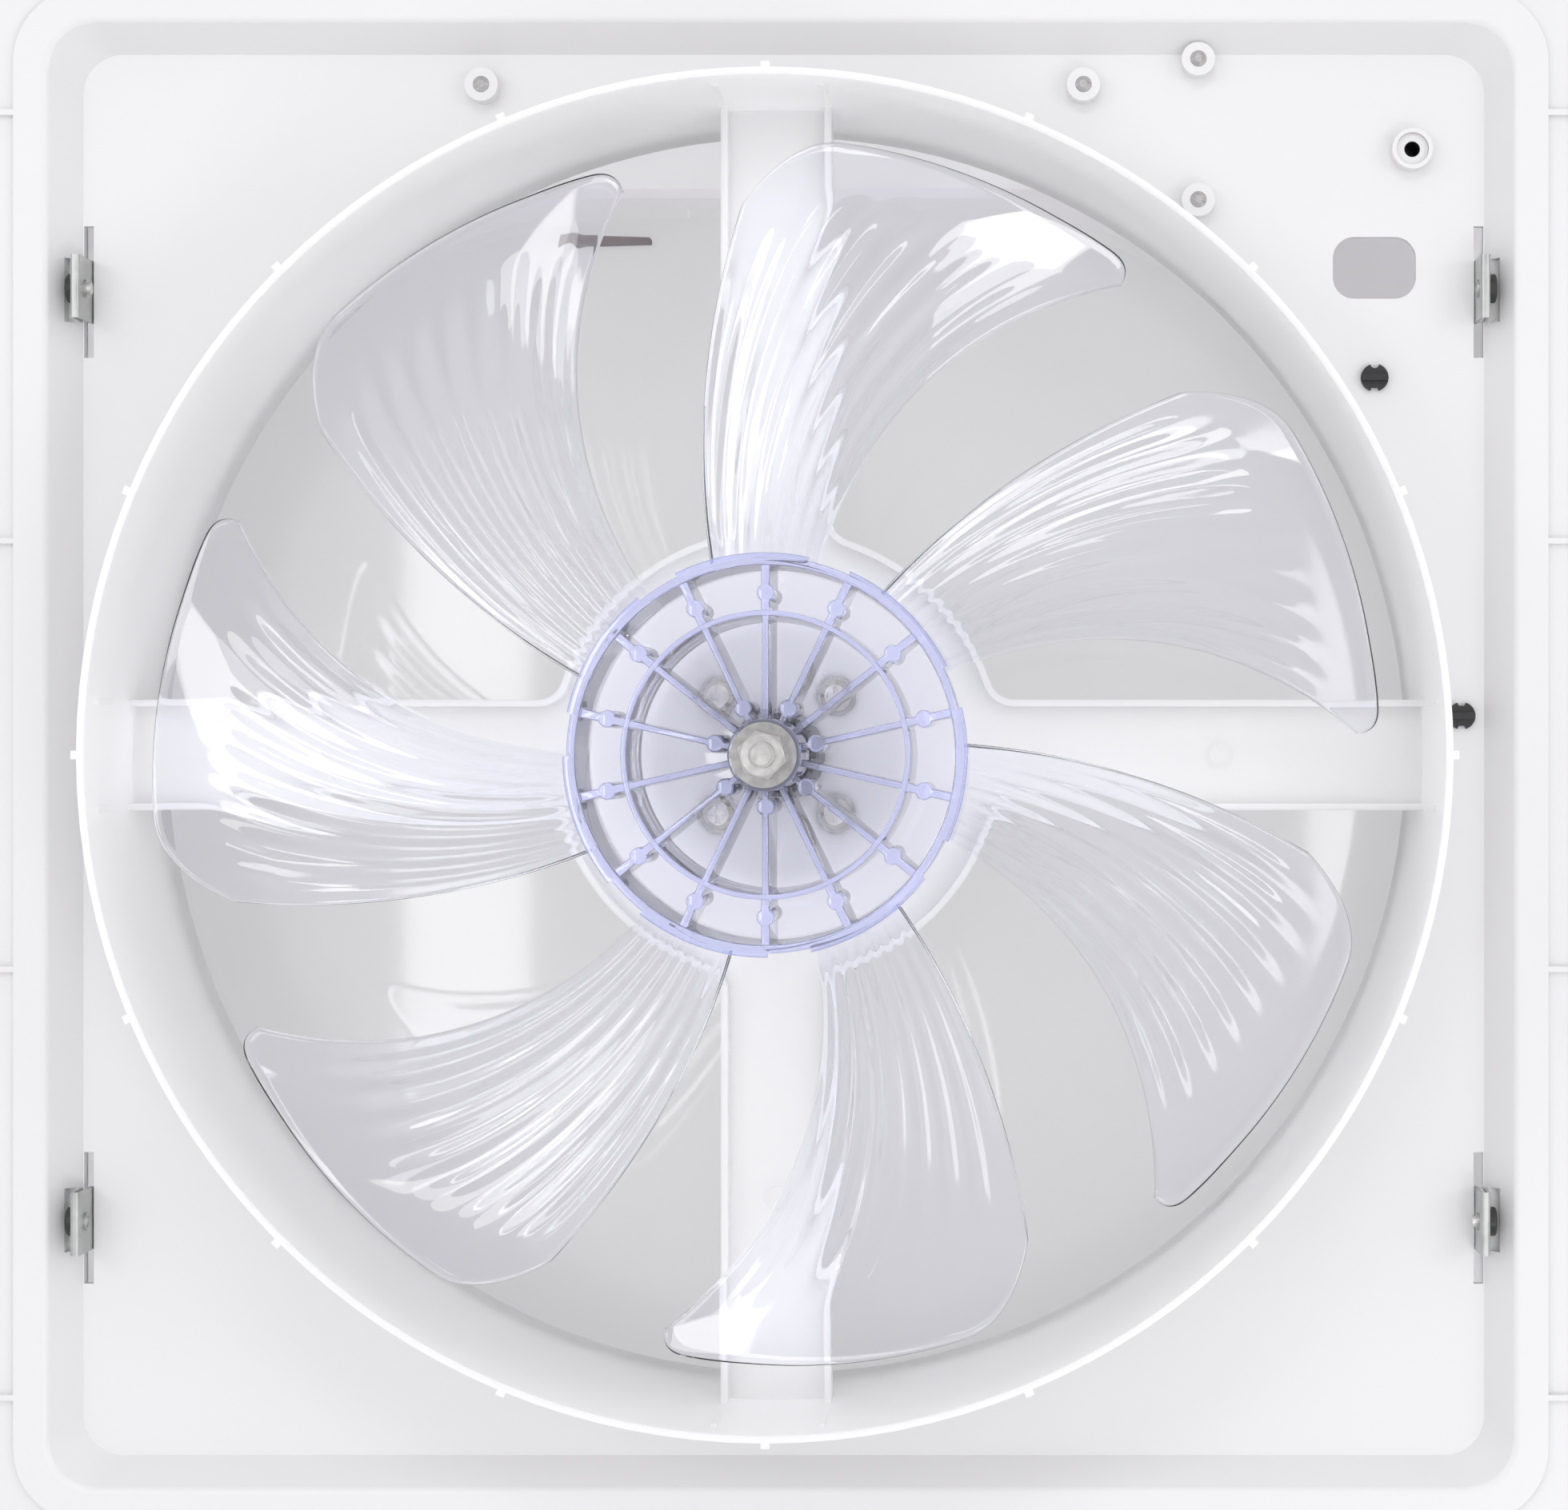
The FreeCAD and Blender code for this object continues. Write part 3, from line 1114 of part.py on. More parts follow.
def make_clips():
    """Spring-steel U nuts on the tongues, longer on the inner side, and the side screws through them."""
    nuts, screws = [], []
    low = "recess_depth - tongue_high - clip_gap - clip_sheet"
    inner, outer = "tongue_x - clip_gap - clip_sheet", "tongue_x + tongue_thick + clip_gap + clip_sheet"
    grip = "tongue_thick + 2 * clip_gap + 2 * clip_sheet"
    radius = "clip_screw_dia / 2"

    def at_bend(edge):
        return edge.BoundBox.ZMax < size(low) + 0.01 and edge.BoundBox.YLength > 1

    def at_head_rim(edge):
        return abs(edge.BoundBox.Center.x) > size(outer + " + 0.8 * clip_head_high")

    for sx, sy in QUARTERS:
        def bolt(wide, length, start):
            return cylinder(wide, length, "%d * (%s)" % (sx, start), y, "clip_screw_z", V(-sx, 0, 0))

        y = "%d * clip_y" % sy
        middle = "%d * (tongue_x + tongue_thick / 2)" % sx
        leg_x = "%d * (%s + clip_sheet / 2)" % (sx, inner)
        shell = fillet(box(grip, "clip_long", "clip_high", middle, y, low), size("clip_bend"), at_bend)
        leg = box("clip_sheet", "clip_long", "clip_leg - clip_bend", leg_x, y, low + " + clip_bend")
        room_wide = "tongue_thick + 2 * clip_gap"
        room = box(room_wide, "2 * clip_long", "clip_leg", middle, y, low + " + clip_sheet")
        collar_long = "clip_collar_high + clip_sheet"
        collar = bolt(radius + " + clip_collar_wall", collar_long, inner + " + clip_sheet")
        hole = bolt(radius + " + 0.02", "hole_reach", outer + " + 1")
        nuts.append(cut(fuse(cut(fuse(shell, leg), room), collar), hole))
        head = bolt("clip_head_dia / 2", "clip_head_high", outer + " + clip_head_high")
        reach = "clip_tip" if sx * sy > 0 else "overlap"
        shank = bolt(radius + " - 0.02", grip + " + " + reach, outer)
        screws.append(fuse(fillet(head, size("clip_head_round"), at_head_rim), shank))
    node("clip_nuts", group(*nuts))
    node("clip_screws", group(*screws))


def make_twist_plugs():
    """Quarter-turn plugs: a notched disc with a finger bar and a barbed stem."""
    plugs = []
    stem_radius = "plug_hole_dia / 2 - 0.05"
    barb_z = "recess_depth + floor_thick + 0.1"
    for x, y in plug_spots():
        disc = cylinder("plug_dia / 2", "plug_disc", x, y, "recess_depth - plug_disc")
        bar = box("plug_dia - 0.6", "plug_disc", "plug_bar", x, y, "recess_depth - plug_disc - plug_bar")
        stem = cylinder(stem_radius, "floor_thick + overlap", x, y, "recess_depth")
        barb = cone(stem_radius + " + 0.5", stem_radius + " - 0.6", "plug_barb", x, y, barb_z)
        notches = [cylinder("plug_notch", "2 * plug_disc", x, "%s + %s * plug_dia / 2" % (y, sign),
                            "recess_depth - 1.5 * plug_disc") for sign in ("1", "-1")]
        plugs.append(fuse(cut(disc, *notches), bar, stem, barb))
    node("twist_plugs", group(*plugs))


make_base_pan()
make_fan_shroud()
make_motor_case()
make_motor_end_bell()
make_bearings()
make_magnets()
make_armature()
make_windings()
make_commutator()
make_brushes()
make_motor_shaft()
make_motor_fasteners()
make_impeller()
make_drive_collar()
make_hub_fasteners()
make_lid()
make_lid_track()
make_lid_strap()
make_lid_seal()
make_hinge_brackets()
make_hinge_pins()
make_floor_screws()
make_lift_housing()
make_crank_shaft()
make_worm_wheel()
make_lift_arm()
make_clips()
make_twist_plugs()


def check_and_write():
    """Stop on any failed object, then write every named sub-part."""
    doc.recompute()
    failed = [item.Name for item in doc.Objects if "Invalid" in item.State or "Error" in item.State]
    if failed:
        raise RuntimeError("failed objects: " + ", ".join(failed))
    os.makedirs("parts", exist_ok=True)
    for name, thing in NODES:
        shape = thing.Shape
        if shape.isNull() or not shape.isValid() or not shape.Solids:
            raise RuntimeError("bad shape: " + name)
        shape.exportStep(os.path.join("parts", name + ".step"))
        print(name, len(shape.Solids), round(shape.Volume / 1000, 2), "cm3", shape.BoundBox)


check_and_write()
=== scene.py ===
import bmesh
import bpy
import json
import math
from mathutils import Matrix, Vector

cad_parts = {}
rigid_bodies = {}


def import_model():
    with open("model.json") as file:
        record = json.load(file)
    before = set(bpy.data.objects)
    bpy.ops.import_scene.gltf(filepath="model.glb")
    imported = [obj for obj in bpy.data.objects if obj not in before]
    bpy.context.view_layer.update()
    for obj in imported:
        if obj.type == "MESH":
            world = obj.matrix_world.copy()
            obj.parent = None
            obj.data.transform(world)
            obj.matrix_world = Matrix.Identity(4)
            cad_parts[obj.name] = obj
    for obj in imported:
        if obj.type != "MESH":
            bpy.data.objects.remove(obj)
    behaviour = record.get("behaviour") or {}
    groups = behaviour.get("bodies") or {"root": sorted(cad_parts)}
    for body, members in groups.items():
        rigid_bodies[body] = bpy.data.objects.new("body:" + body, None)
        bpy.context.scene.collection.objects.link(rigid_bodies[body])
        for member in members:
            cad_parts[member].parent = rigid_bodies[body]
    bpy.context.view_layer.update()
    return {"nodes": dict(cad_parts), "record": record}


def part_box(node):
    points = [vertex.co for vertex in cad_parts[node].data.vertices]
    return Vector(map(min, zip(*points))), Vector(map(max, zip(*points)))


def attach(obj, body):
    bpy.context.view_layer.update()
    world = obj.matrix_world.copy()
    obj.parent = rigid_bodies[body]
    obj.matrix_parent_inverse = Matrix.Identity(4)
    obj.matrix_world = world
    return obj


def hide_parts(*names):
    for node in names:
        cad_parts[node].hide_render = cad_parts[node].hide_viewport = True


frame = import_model()
NODES = frame["nodes"]
MM = 0.001
CENTRE = (0.0, 0.0, 0.0)

# The photograph's frame and the fan axis in it, in pixels, and the camera's distance in metres.
IMAGE_WIDE, IMAGE_HIGH = 1960, 1888
FOCAL_PIXELS = 4400
VANISHING_X, VANISHING_Y = 1300, 944
RING_EDGE_AXIS_X = 956
RING_EDGE_DISTANCE = 0.812
SENSOR = 36.0
CLIP_START = 0.01


def set_camera():
    """Camera below the roof, looking straight up with the hinge side at the top."""
    data = bpy.data.cameras.new("camera")
    data.sensor_fit = "HORIZONTAL"
    data.sensor_width = SENSOR
    data.lens = SENSOR * FOCAL_PIXELS / IMAGE_WIDE
    data.shift_x = (IMAGE_WIDE / 2 - VANISHING_X) / IMAGE_WIDE
    data.shift_y = (VANISHING_Y - IMAGE_HIGH / 2) / IMAGE_WIDE
    data.clip_start = CLIP_START
    camera = bpy.data.objects.new("camera", data)
    bpy.context.scene.collection.objects.link(camera)
    ring_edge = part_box("fan_shroud")[0][2]
    aside = (RING_EDGE_AXIS_X - VANISHING_X) * RING_EDGE_DISTANCE / FOCAL_PIXELS
    camera.location = (aside, 0.0, ring_edge - RING_EDGE_DISTANCE)
    camera.rotation_euler = (0.0, math.pi, 0.0)
    bpy.context.scene.camera = camera


# Nodes whose finish differs from the plain one of their slot.
# The shroud is a slightly translucent copy of the pan's white plastic, painted paler to stand in for the
# light on the ring's inner walls.
OWN_FINISH = {"fan_shroud": "shroud_white_painted_light", "lid_strap": "strap_paint", "clip_screws": "screw_black",
              "crank_shaft": "crank_white", "hub_washer": "washer_steel", "motor_washers": "washer_steel"}
# Where a finish changes, in metres: at the screws' bare tips, the knob socket, and the hub's walls and ribs,
# where lilac is painted.
SCREW_TIP_X, SCREW_TIP_SOFT = 0.1712, 0.0002
CRANK_AXIS, SOCKET_RADIUS, SOCKET_SOFT = (-0.1553, 0.1495, 0.0), 0.0019, 0.0001
HUB_RIB_END, HUB_WALL_ROOT, HUB_RIB_EDGE, HUB_SOFT = 0.047, -0.0236, -0.0462, 0.0005
# Clear plastic of the blades and web, of the hub's walls, and of the edges of its ribs, with painted lilac on
# the walls and deeper on the rib edges, standing in for the tint of light running lengthwise through them.
CLEAR_TONES_WITH_PAINTED_LILAC = [(0.97, 0.97, 1.0), (0.92, 0.93, 1.0), (0.72, 0.75, 1.0)]
# Lid colours from its slopes to its flat top, each after the size of the unit normal's z at which it lies:
# painted light and shade, with the slopes painted pale as if lit, a painted mauve shade in the bend, and the
# plain smoked grey on the flat top.
LID_PAINTED_LIGHT_TONES = [(0.80, (0.98, 0.975, 0.985)), (0.88, (0.81, 0.785, 0.81)), (0.96, (0.785, 0.765, 0.785)),
             (0.995, (0.77, 0.77, 0.773))]


# Node helpers for the materials.
def new_material(name):
    """New node material, with its tree and its main shader."""
    material = bpy.data.materials.new(name)
    material.use_nodes = True
    return material, material.node_tree, material.node_tree.nodes["Principled BSDF"]


def object_coords(tree):
    """Coordinates that stay with the object."""
    return tree.nodes.new("ShaderNodeTexCoord").outputs["Object"]


def noise(tree, scale, detail=3.0, roughness=0.5):
    """Grey noise over the object, at a scale per metre."""
    texture = tree.nodes.new("ShaderNodeTexNoise")
    texture.inputs["Scale"].default_value = scale
    texture.inputs["Detail"].default_value = detail
    texture.inputs["Roughness"].default_value = roughness
    tree.links.new(object_coords(tree), texture.inputs["Vector"])
    return texture.outputs["Fac"]


def ramp(tree, source, low, high, from_low=0.3, from_high=0.7):
    """Map a grey value to a range."""
    node = tree.nodes.new("ShaderNodeMapRange")
    node.inputs["From Min"].default_value = from_low
    node.inputs["From Max"].default_value = from_high
    node.inputs["To Min"].default_value = low
    node.inputs["To Max"].default_value = high
    tree.links.new(source, node.inputs["Value"])
    return node.outputs["Result"]


def colour_mix(tree, factor, first, second):
    """Blend two colours by a grey value."""
    node = tree.nodes.new("ShaderNodeMix")
    node.data_type = "RGBA"
    node.inputs["A"].default_value = (*first, 1.0)
    node.inputs["B"].default_value = (*second, 1.0)
    tree.links.new(factor, node.inputs["Factor"])
    return node.outputs["Result"]


def bump(tree, shader, height, strength, distance):
    """Raise a shader's surface by a grey value."""
    node = tree.nodes.new("ShaderNodeBump")
    node.inputs["Strength"].default_value = strength
    node.inputs["Distance"].default_value = distance
    tree.links.new(height, node.inputs["Height"])
    tree.links.new(node.outputs["Normal"], shader.inputs["Normal"])


def white_plastic(name, first, second, depth=0.0):
    """Satin moulded plastic with faint flow shading and a fine grain, milky to a depth."""
    material, tree, shader = new_material(name)
    tone = ramp(tree, noise(tree, scale=7.0), low=0.0, high=1.0)
    tree.links.new(colour_mix(tree, tone, first, second), shader.inputs["Base Color"])
    tree.links.new(ramp(tree, noise(tree, scale=60.0), low=0.30, high=0.38), shader.inputs["Roughness"])
    if depth > 0.0:
        shader.inputs["Subsurface Weight"].default_value = 1.0
        shader.inputs["Subsurface Radius"].default_value = (1.0, 1.0, 1.0)
        shader.inputs["Subsurface Scale"].default_value = depth
    bump(tree, shader, noise(tree, scale=90.0, detail=2.0), strength=0.05, distance=0.0003)
    return material


def smoked_plastic():
    """Milky smoked polycarbonate under a glossy skin, with painted light: paler where its faces slope, as if
    lit, and a painted mauve shade in the bend to the flat top.
    """
    material, tree, shader = new_material("smoked_plastic")
    normal = tree.nodes.new("ShaderNodeSeparateXYZ")
    tree.links.new(tree.nodes.new("ShaderNodeNewGeometry").outputs["Normal"], normal.inputs["Vector"])
    upright = tree.nodes.new("ShaderNodeMath")
    upright.operation = "ABSOLUTE"
    tree.links.new(normal.outputs["Z"], upright.inputs[0])
    # Painted light and shade by the face's tilt: slopes painted pale as if lit, a painted mauve shade in the
    # bend, smoked grey on the flat top.
    tones_with_painted_light = tree.nodes.new("ShaderNodeValToRGB")
    stops = tones_with_painted_light.color_ramp.elements
    while len(stops) < len(LID_PAINTED_LIGHT_TONES):
        stops.new(1.0)
    for stop, (tilt, colour) in zip(stops, LID_PAINTED_LIGHT_TONES):
        stop.position = tilt
        stop.color = (*colour, 1.0)
    tree.links.new(upright.outputs["Value"], tones_with_painted_light.inputs["Fac"])
    tree.links.new(tones_with_painted_light.outputs["Color"], shader.inputs["Base Color"])
    shader.inputs["Transmission Weight"].default_value = 0.85
    tree.links.new(ramp(tree, noise(tree, scale=45.0), low=0.44, high=0.50), shader.inputs["Roughness"])
    shader.inputs["Coat Weight"].default_value = 1.0
    shader.inputs["Coat Roughness"].default_value = 0.05
    bump(tree, shader, noise(tree, scale=14.0, detail=1.0), strength=0.10, distance=0.0006)
    return material


def metal(name, first, second, rough_low, rough_high, scale=400.0):
    """Metal with a fine grain in its colour and gloss."""
    material, tree, shader = new_material(name)
    grain = noise(tree, scale, detail=4.0, roughness=0.6)
    tone = ramp(tree, grain, low=0.0, high=1.0)
    tree.links.new(colour_mix(tree, tone, first, second), shader.inputs["Base Color"])
    tree.links.new(ramp(tree, grain, rough_low, rough_high), shader.inputs["Roughness"])
    shader.inputs["Metallic"].default_value = 1.0
    bump(tree, shader, grain, strength=0.12, distance=0.00006)
    return material


def dull(name, first, second, rough_low, rough_high, scale=300.0, depth=0.00008):
    """Non-metal finish with grain, for rubber, ferrite and dark plastic."""
    material, tree, shader = new_material(name)
    grain = noise(tree, scale, detail=4.0, roughness=0.6)
    tone = ramp(tree, grain, low=0.0, high=1.0)
    tree.links.new(colour_mix(tree, tone, first, second), shader.inputs["Base Color"])
    tree.links.new(ramp(tree, grain, rough_low, rough_high), shader.inputs["Roughness"])
    bump(tree, shader, grain, strength=0.25, distance=depth)
    return material


def two_tone(name, mask_of, inner, outer, metal_inside):
    """Satin finish with one colour inside a mask, metal where asked, and another outside it."""
    material, tree, shader = new_material(name)
    inside = mask_of(tree)
    tree.links.new(colour_mix(tree, inside, outer, inner), shader.inputs["Base Color"])
    tree.links.new(ramp(tree, inside, 0.0, metal_inside, 0.0, 1.0), shader.inputs["Metallic"])
    tree.links.new(ramp(tree, noise(tree, scale=300.0), low=0.30, high=0.42), shader.inputs["Roughness"])
    bump(tree, shader, noise(tree, scale=400.0), strength=0.10, distance=0.00005)
    return material


def screw_tips(tree):
    """Mask of the clip screws' tips, where the black coat stops."""
    apart = tree.nodes.new("ShaderNodeSeparateXYZ")
    tree.links.new(object_coords(tree), apart.inputs["Vector"])
    across = tree.nodes.new("ShaderNodeMath")
    across.operation = "ABSOLUTE"
    tree.links.new(apart.outputs["X"], across.inputs[0])
    return ramp(tree, across.outputs["Value"], 1.0, 0.0, SCREW_TIP_X - SCREW_TIP_SOFT, SCREW_TIP_X)


def away_from_axis(tree, axis, radius, soft):
    """Mask of what lies further than a radius from an upright axis."""
    flat = tree.nodes.new("ShaderNodeVectorMath")
    flat.operation = "MULTIPLY"
    flat.inputs[1].default_value = (1.0, 1.0, 0.0)
    tree.links.new(object_coords(tree), flat.inputs[0])
    away = tree.nodes.new("ShaderNodeVectorMath")
    away.operation = "DISTANCE"
    away.inputs[1].default_value = axis
    tree.links.new(flat.outputs["Vector"], away.inputs[0])
    return ramp(tree, away.outputs["Value"], 0.0, 1.0, radius, radius + soft)


def outside_socket(tree):
    """Mask of the crank but for its dark knob socket."""
    return away_from_axis(tree, CRANK_AXIS, SOCKET_RADIUS, SOCKET_SOFT)


def hub_below(tree, outside, height):
    """Mask of the hub's parts nearer to the cabin than a height."""
    apart = tree.nodes.new("ShaderNodeSeparateXYZ")
    tree.links.new(object_coords(tree), apart.inputs["Vector"])
    beyond = tree.nodes.new("ShaderNodeMath")
    beyond.operation = "MAXIMUM"
    tree.links.new(ramp(tree, apart.outputs["Z"], 0.0, 1.0, height - HUB_SOFT, height), beyond.inputs[0])
    tree.links.new(outside, beyond.inputs[1])
    return ramp(tree, beyond.outputs["Value"], 1.0, 0.0, 0.0, 1.0)


def clear_plastic():
    """Clear polycarbonate, lilac where light runs far through it and faintly milky in the hub's ribs, with
    painted lilac on the hub's walls and rib edges standing in for light running lengthwise through them.
    """
    material, tree, shader = new_material("clear_plastic")
    outside = away_from_axis(tree, CENTRE, HUB_RIB_END, HUB_SOFT)
    levels = tree.nodes.new("ShaderNodeMath")
    levels.operation = "ADD"
    tree.links.new(hub_below(tree, outside, HUB_WALL_ROOT), levels.inputs[0])
    tree.links.new(hub_below(tree, outside, HUB_RIB_EDGE), levels.inputs[1])
    # Painted lilac on the hub's walls, and deeper on its rib edges, in place of the tint that light picks up
    # running lengthwise through them.
    tones_with_painted_light = tree.nodes.new("ShaderNodeValToRGB")
    levels_share = ramp(tree, levels.outputs["Value"], 0.0, 1.0, 0.0, 2.0)
    tree.links.new(levels_share, tones_with_painted_light.inputs["Fac"])
    tones_with_painted_light.color_ramp.elements.new(0.5)
    for stop, colour in zip(tones_with_painted_light.color_ramp.elements, CLEAR_TONES_WITH_PAINTED_LILAC):
        stop.color = (*colour, 1.0)
    tree.links.new(tones_with_painted_light.outputs["Color"], shader.inputs["Base Color"])
    tree.links.new(ramp(tree, levels_share, 1.0, 0.80, 0.0, 1.0), shader.inputs["Transmission Weight"])
    shader.inputs["IOR"].default_value = 1.58
    tree.links.new(ramp(tree, noise(tree, scale=30.0), low=0.015, high=0.04), shader.inputs["Roughness"])
    through = tree.nodes.new("ShaderNodeBsdfTransparent")
    through.inputs["Color"].default_value = (0.99, 0.99, 1.0, 1.0)
    rays = tree.nodes.new("ShaderNodeLightPath")
    mix = tree.nodes.new("ShaderNodeMixShader")
    tree.links.new(rays.outputs["Is Shadow Ray"], mix.inputs["Fac"])
    tree.links.new(shader.outputs["BSDF"], mix.inputs[1])
    tree.links.new(through.outputs["BSDF"], mix.inputs[2])
    output = tree.nodes["Material Output"]
    tree.links.new(mix.outputs["Shader"], output.inputs["Surface"])
    volume = tree.nodes.new("ShaderNodeVolumeAbsorption")
    volume.inputs["Color"].default_value = (0.45, 0.48, 0.92, 1.0)
    volume.inputs["Density"].default_value = 12.0
    tree.links.new(volume.outputs["Volume"], output.inputs["Volume"])
    return material


def make_materials():
    """Materials of the record's slots, and of the nodes with a finish of their own."""
    return {
        "white_abs": white_plastic("white_abs", (0.755, 0.75, 0.755), (0.775, 0.77, 0.775)),
        # Painted light: the shroud's white is paler than the pan's, standing in for the light on the ring's
        # inner walls.
        "shroud_white_painted_light": white_plastic("shroud_white_painted_light", (0.935, 0.93, 0.935), (0.955, 0.95, 0.955), 0.010),
        "crank_white": two_tone("crank_white", outside_socket, (0.76, 0.755, 0.76), (0.02, 0.02, 0.02), 0.0),
        "screw_black": two_tone("screw_black", screw_tips, (0.70, 0.69, 0.68), (0.02, 0.02, 0.021), 1.0),
        "strap_paint": dull("strap_paint", (0.27, 0.225, 0.235), (0.34, 0.285, 0.295), 0.40, 0.55),
        "smoked_lid": smoked_plastic(),
        "clear_blade": clear_plastic(),
        "steel": metal("steel", (0.50, 0.49, 0.48), (0.60, 0.59, 0.58), 0.16, 0.26),
        "washer_steel": metal("washer_steel", (0.33, 0.325, 0.32), (0.42, 0.415, 0.41), 0.18, 0.26),
        "zinc": metal("zinc", (0.42, 0.43, 0.42), (0.58, 0.59, 0.58), 0.28, 0.45, scale=160.0),
        "motor_steel": metal("motor_steel", (0.40, 0.41, 0.43), (0.50, 0.51, 0.52), 0.30, 0.42),
        "copper": metal("copper", (0.60, 0.30, 0.16), (0.75, 0.42, 0.25), 0.28, 0.40),
        "black_plastic": dull("black_plastic", (0.010, 0.010, 0.012), (0.024, 0.024, 0.026), 0.32, 0.5),
        "magnet": dull("magnet", (0.05, 0.05, 0.052), (0.09, 0.09, 0.09), 0.55, 0.75),
        "seal_rubber": dull("seal_rubber", (0.02, 0.02, 0.02), (0.045, 0.045, 0.045), 0.75, 0.95,
                            scale=900.0, depth=0.0002),
    }


def dress_nodes(materials):
    """Give each CAD node the material of its slot in the record, or its own finish."""
    slots = {part["node"]: part["material_slot"] for part in frame["record"]["subparts"]}
    for name, item in NODES.items():
        item.data.materials.clear()
        item.data.materials.append(materials[OWN_FINISH.get(name, slots[name])])


# Sizes of the impeller's hub in millimetres, as in the CAD source.
HUB_RADIUS, HUB_WALL, HUB_NEAR, HUB_BACK, HUB_WEB = 45.9, 2.0, -50.0, -21.0, 1.8
HUB_FLOOR = HUB_BACK - HUB_WEB
BOSS_RADIUS, BOSS_NEAR, BORE_RADIUS = 8.5, -52.5, 3.02
RING_RADIUS, RING_WALL, RING_DRAFT, RING_NEAR = 33.5, 1.2, 0.7, HUB_NEAR + 1.0
RIB_COUNT, RIB_THICK, RIB_OUTER, RIB_NEAR, RIB_ROOT = 14, 1.5, 2.0, -48.5, 5.0
PAD_SPOT, INNER_PAD_SPOT, PAD_DIA, PAD_NEAR = 37.6, 12.0, 4.1, RIB_NEAR - 0.02
LIP_DEEP, LIP_HIGH, LIP_START, LIP_SPAN = 0.9, 2.0, 26.5, 39.0
# Roundings of the hub's edges, and how far its pieces sink into the web.
THIN_ROUND, RIB_ROUND, RIM_ROUND, BACK_ROUND = 0.3, 0.45, 0.6, 0.5
BOSS_ROUND, BOSS_FILLET, CUP_FILLET = 0.4, 0.6, 0.8
OVERLAP = 0.2
# Sizes of its blades in millimetres, degrees and shares of chord or span, as in the CAD source.
BLADE_COUNT, BLADE_ROOT, BLADE_TIP = 7, 44.9, 143.9
BLADE_THICK, ROOT_THICK_SHARE, THICK_FALL = 1.7, 1.4, 0.35
BLADE_LEAD_Z, BLADE_LEAD_RISE, BLADE_TRAIL_Z, BLADE_CAMBER = -47.5, 3.5, -24.0, 3.0
ROOT_LEAD_ANGLE, ROOT_TRAIL_ANGLE, TRAIL_SWEEP, SWEEP_POWER = -16.4, 13.4, 25.0, 1.54
LEAD_CORNER, LEAD_CORNER_DROP, LEAD_CORNER_POWER = 0.2, 16.0, 2.6
TRAIL_CORNER, TRAIL_CORNER_DROP, TRAIL_CORNER_POWER = 0.12, 5.4, 2.2
TRAIL_SWELL, SWELL_START = 0.4, 0.7
FLUTE_COUNT, FLUTE_FIRST, FLUTE_LAST, FLUTE_MARGIN = 7, 0.09, 0.91, 0.03
FLUTE_FADE_START, FLUTE_FADE_END = 0.74, 0.9
# The clear blade's own flutes, shallower than the source's and shallowest at the root, and its rounded rim.
FLUTE_DEEP, FLUTE_ROOT_SHARE, FLUTE_FULL = 0.34, 0.4, 0.6
BLADE_EDGE = 0.8
EDGE_STEPS, CHORD_STEPS, SPAN_STEPS, LIP_STEPS = 4, 112, 64, 28
# Rough chord of a blade: its angle at the root and what it gains to the tip, with the slant's extra length.
CHORD_ANGLE, CHORD_GAIN, CHORD_SLANT = 29.8, 8.6, 1.08
# Edges sharper than this many degrees aren't shaded smooth.
SHARP_ANGLE = 38.0


def smooth_step(low, high, value):
    """Smooth rise from 0 to 1 between two values."""
    part = min(max((value - low) / (high - low), 0.0), 1.0)
    return part * part * (3.0 - 2.0 * part)


def blade_tip_radius(t):
    """Tip radius along the chord: a wide leading corner and a tight trailing one."""
    trail_start = 1.0 - TRAIL_CORNER
    if t < LEAD_CORNER:
        return BLADE_TIP - LEAD_CORNER_DROP * (1.0 - t / LEAD_CORNER) ** LEAD_CORNER_POWER
    if t > trail_start:
        drop = TRAIL_CORNER_DROP * ((t - trail_start) / TRAIL_CORNER) ** TRAIL_CORNER_POWER
        return BLADE_TIP + TRAIL_SWELL - drop
    return BLADE_TIP + TRAIL_SWELL * smooth_step(SWELL_START, trail_start, t)


def flute(t):
    """Wave of the seven flutes across the chord, fading at its two ends."""
    wave = -math.cos(2.0 * math.pi * FLUTE_COUNT * (t - FLUTE_FIRST) / (FLUTE_LAST - FLUTE_FIRST))
    return wave * smooth_step(FLUTE_MARGIN, FLUTE_FIRST, t) * smooth_step(1.0 - FLUTE_MARGIN, FLUTE_LAST, t)


def edge_share(distance):
    """Share of the blade's thickness left at a distance from its rounded rim."""
    inner = max(1.0 - distance / BLADE_EDGE, 0.0)
    return math.sqrt(max(1.0 - inner * inner, 0.0))


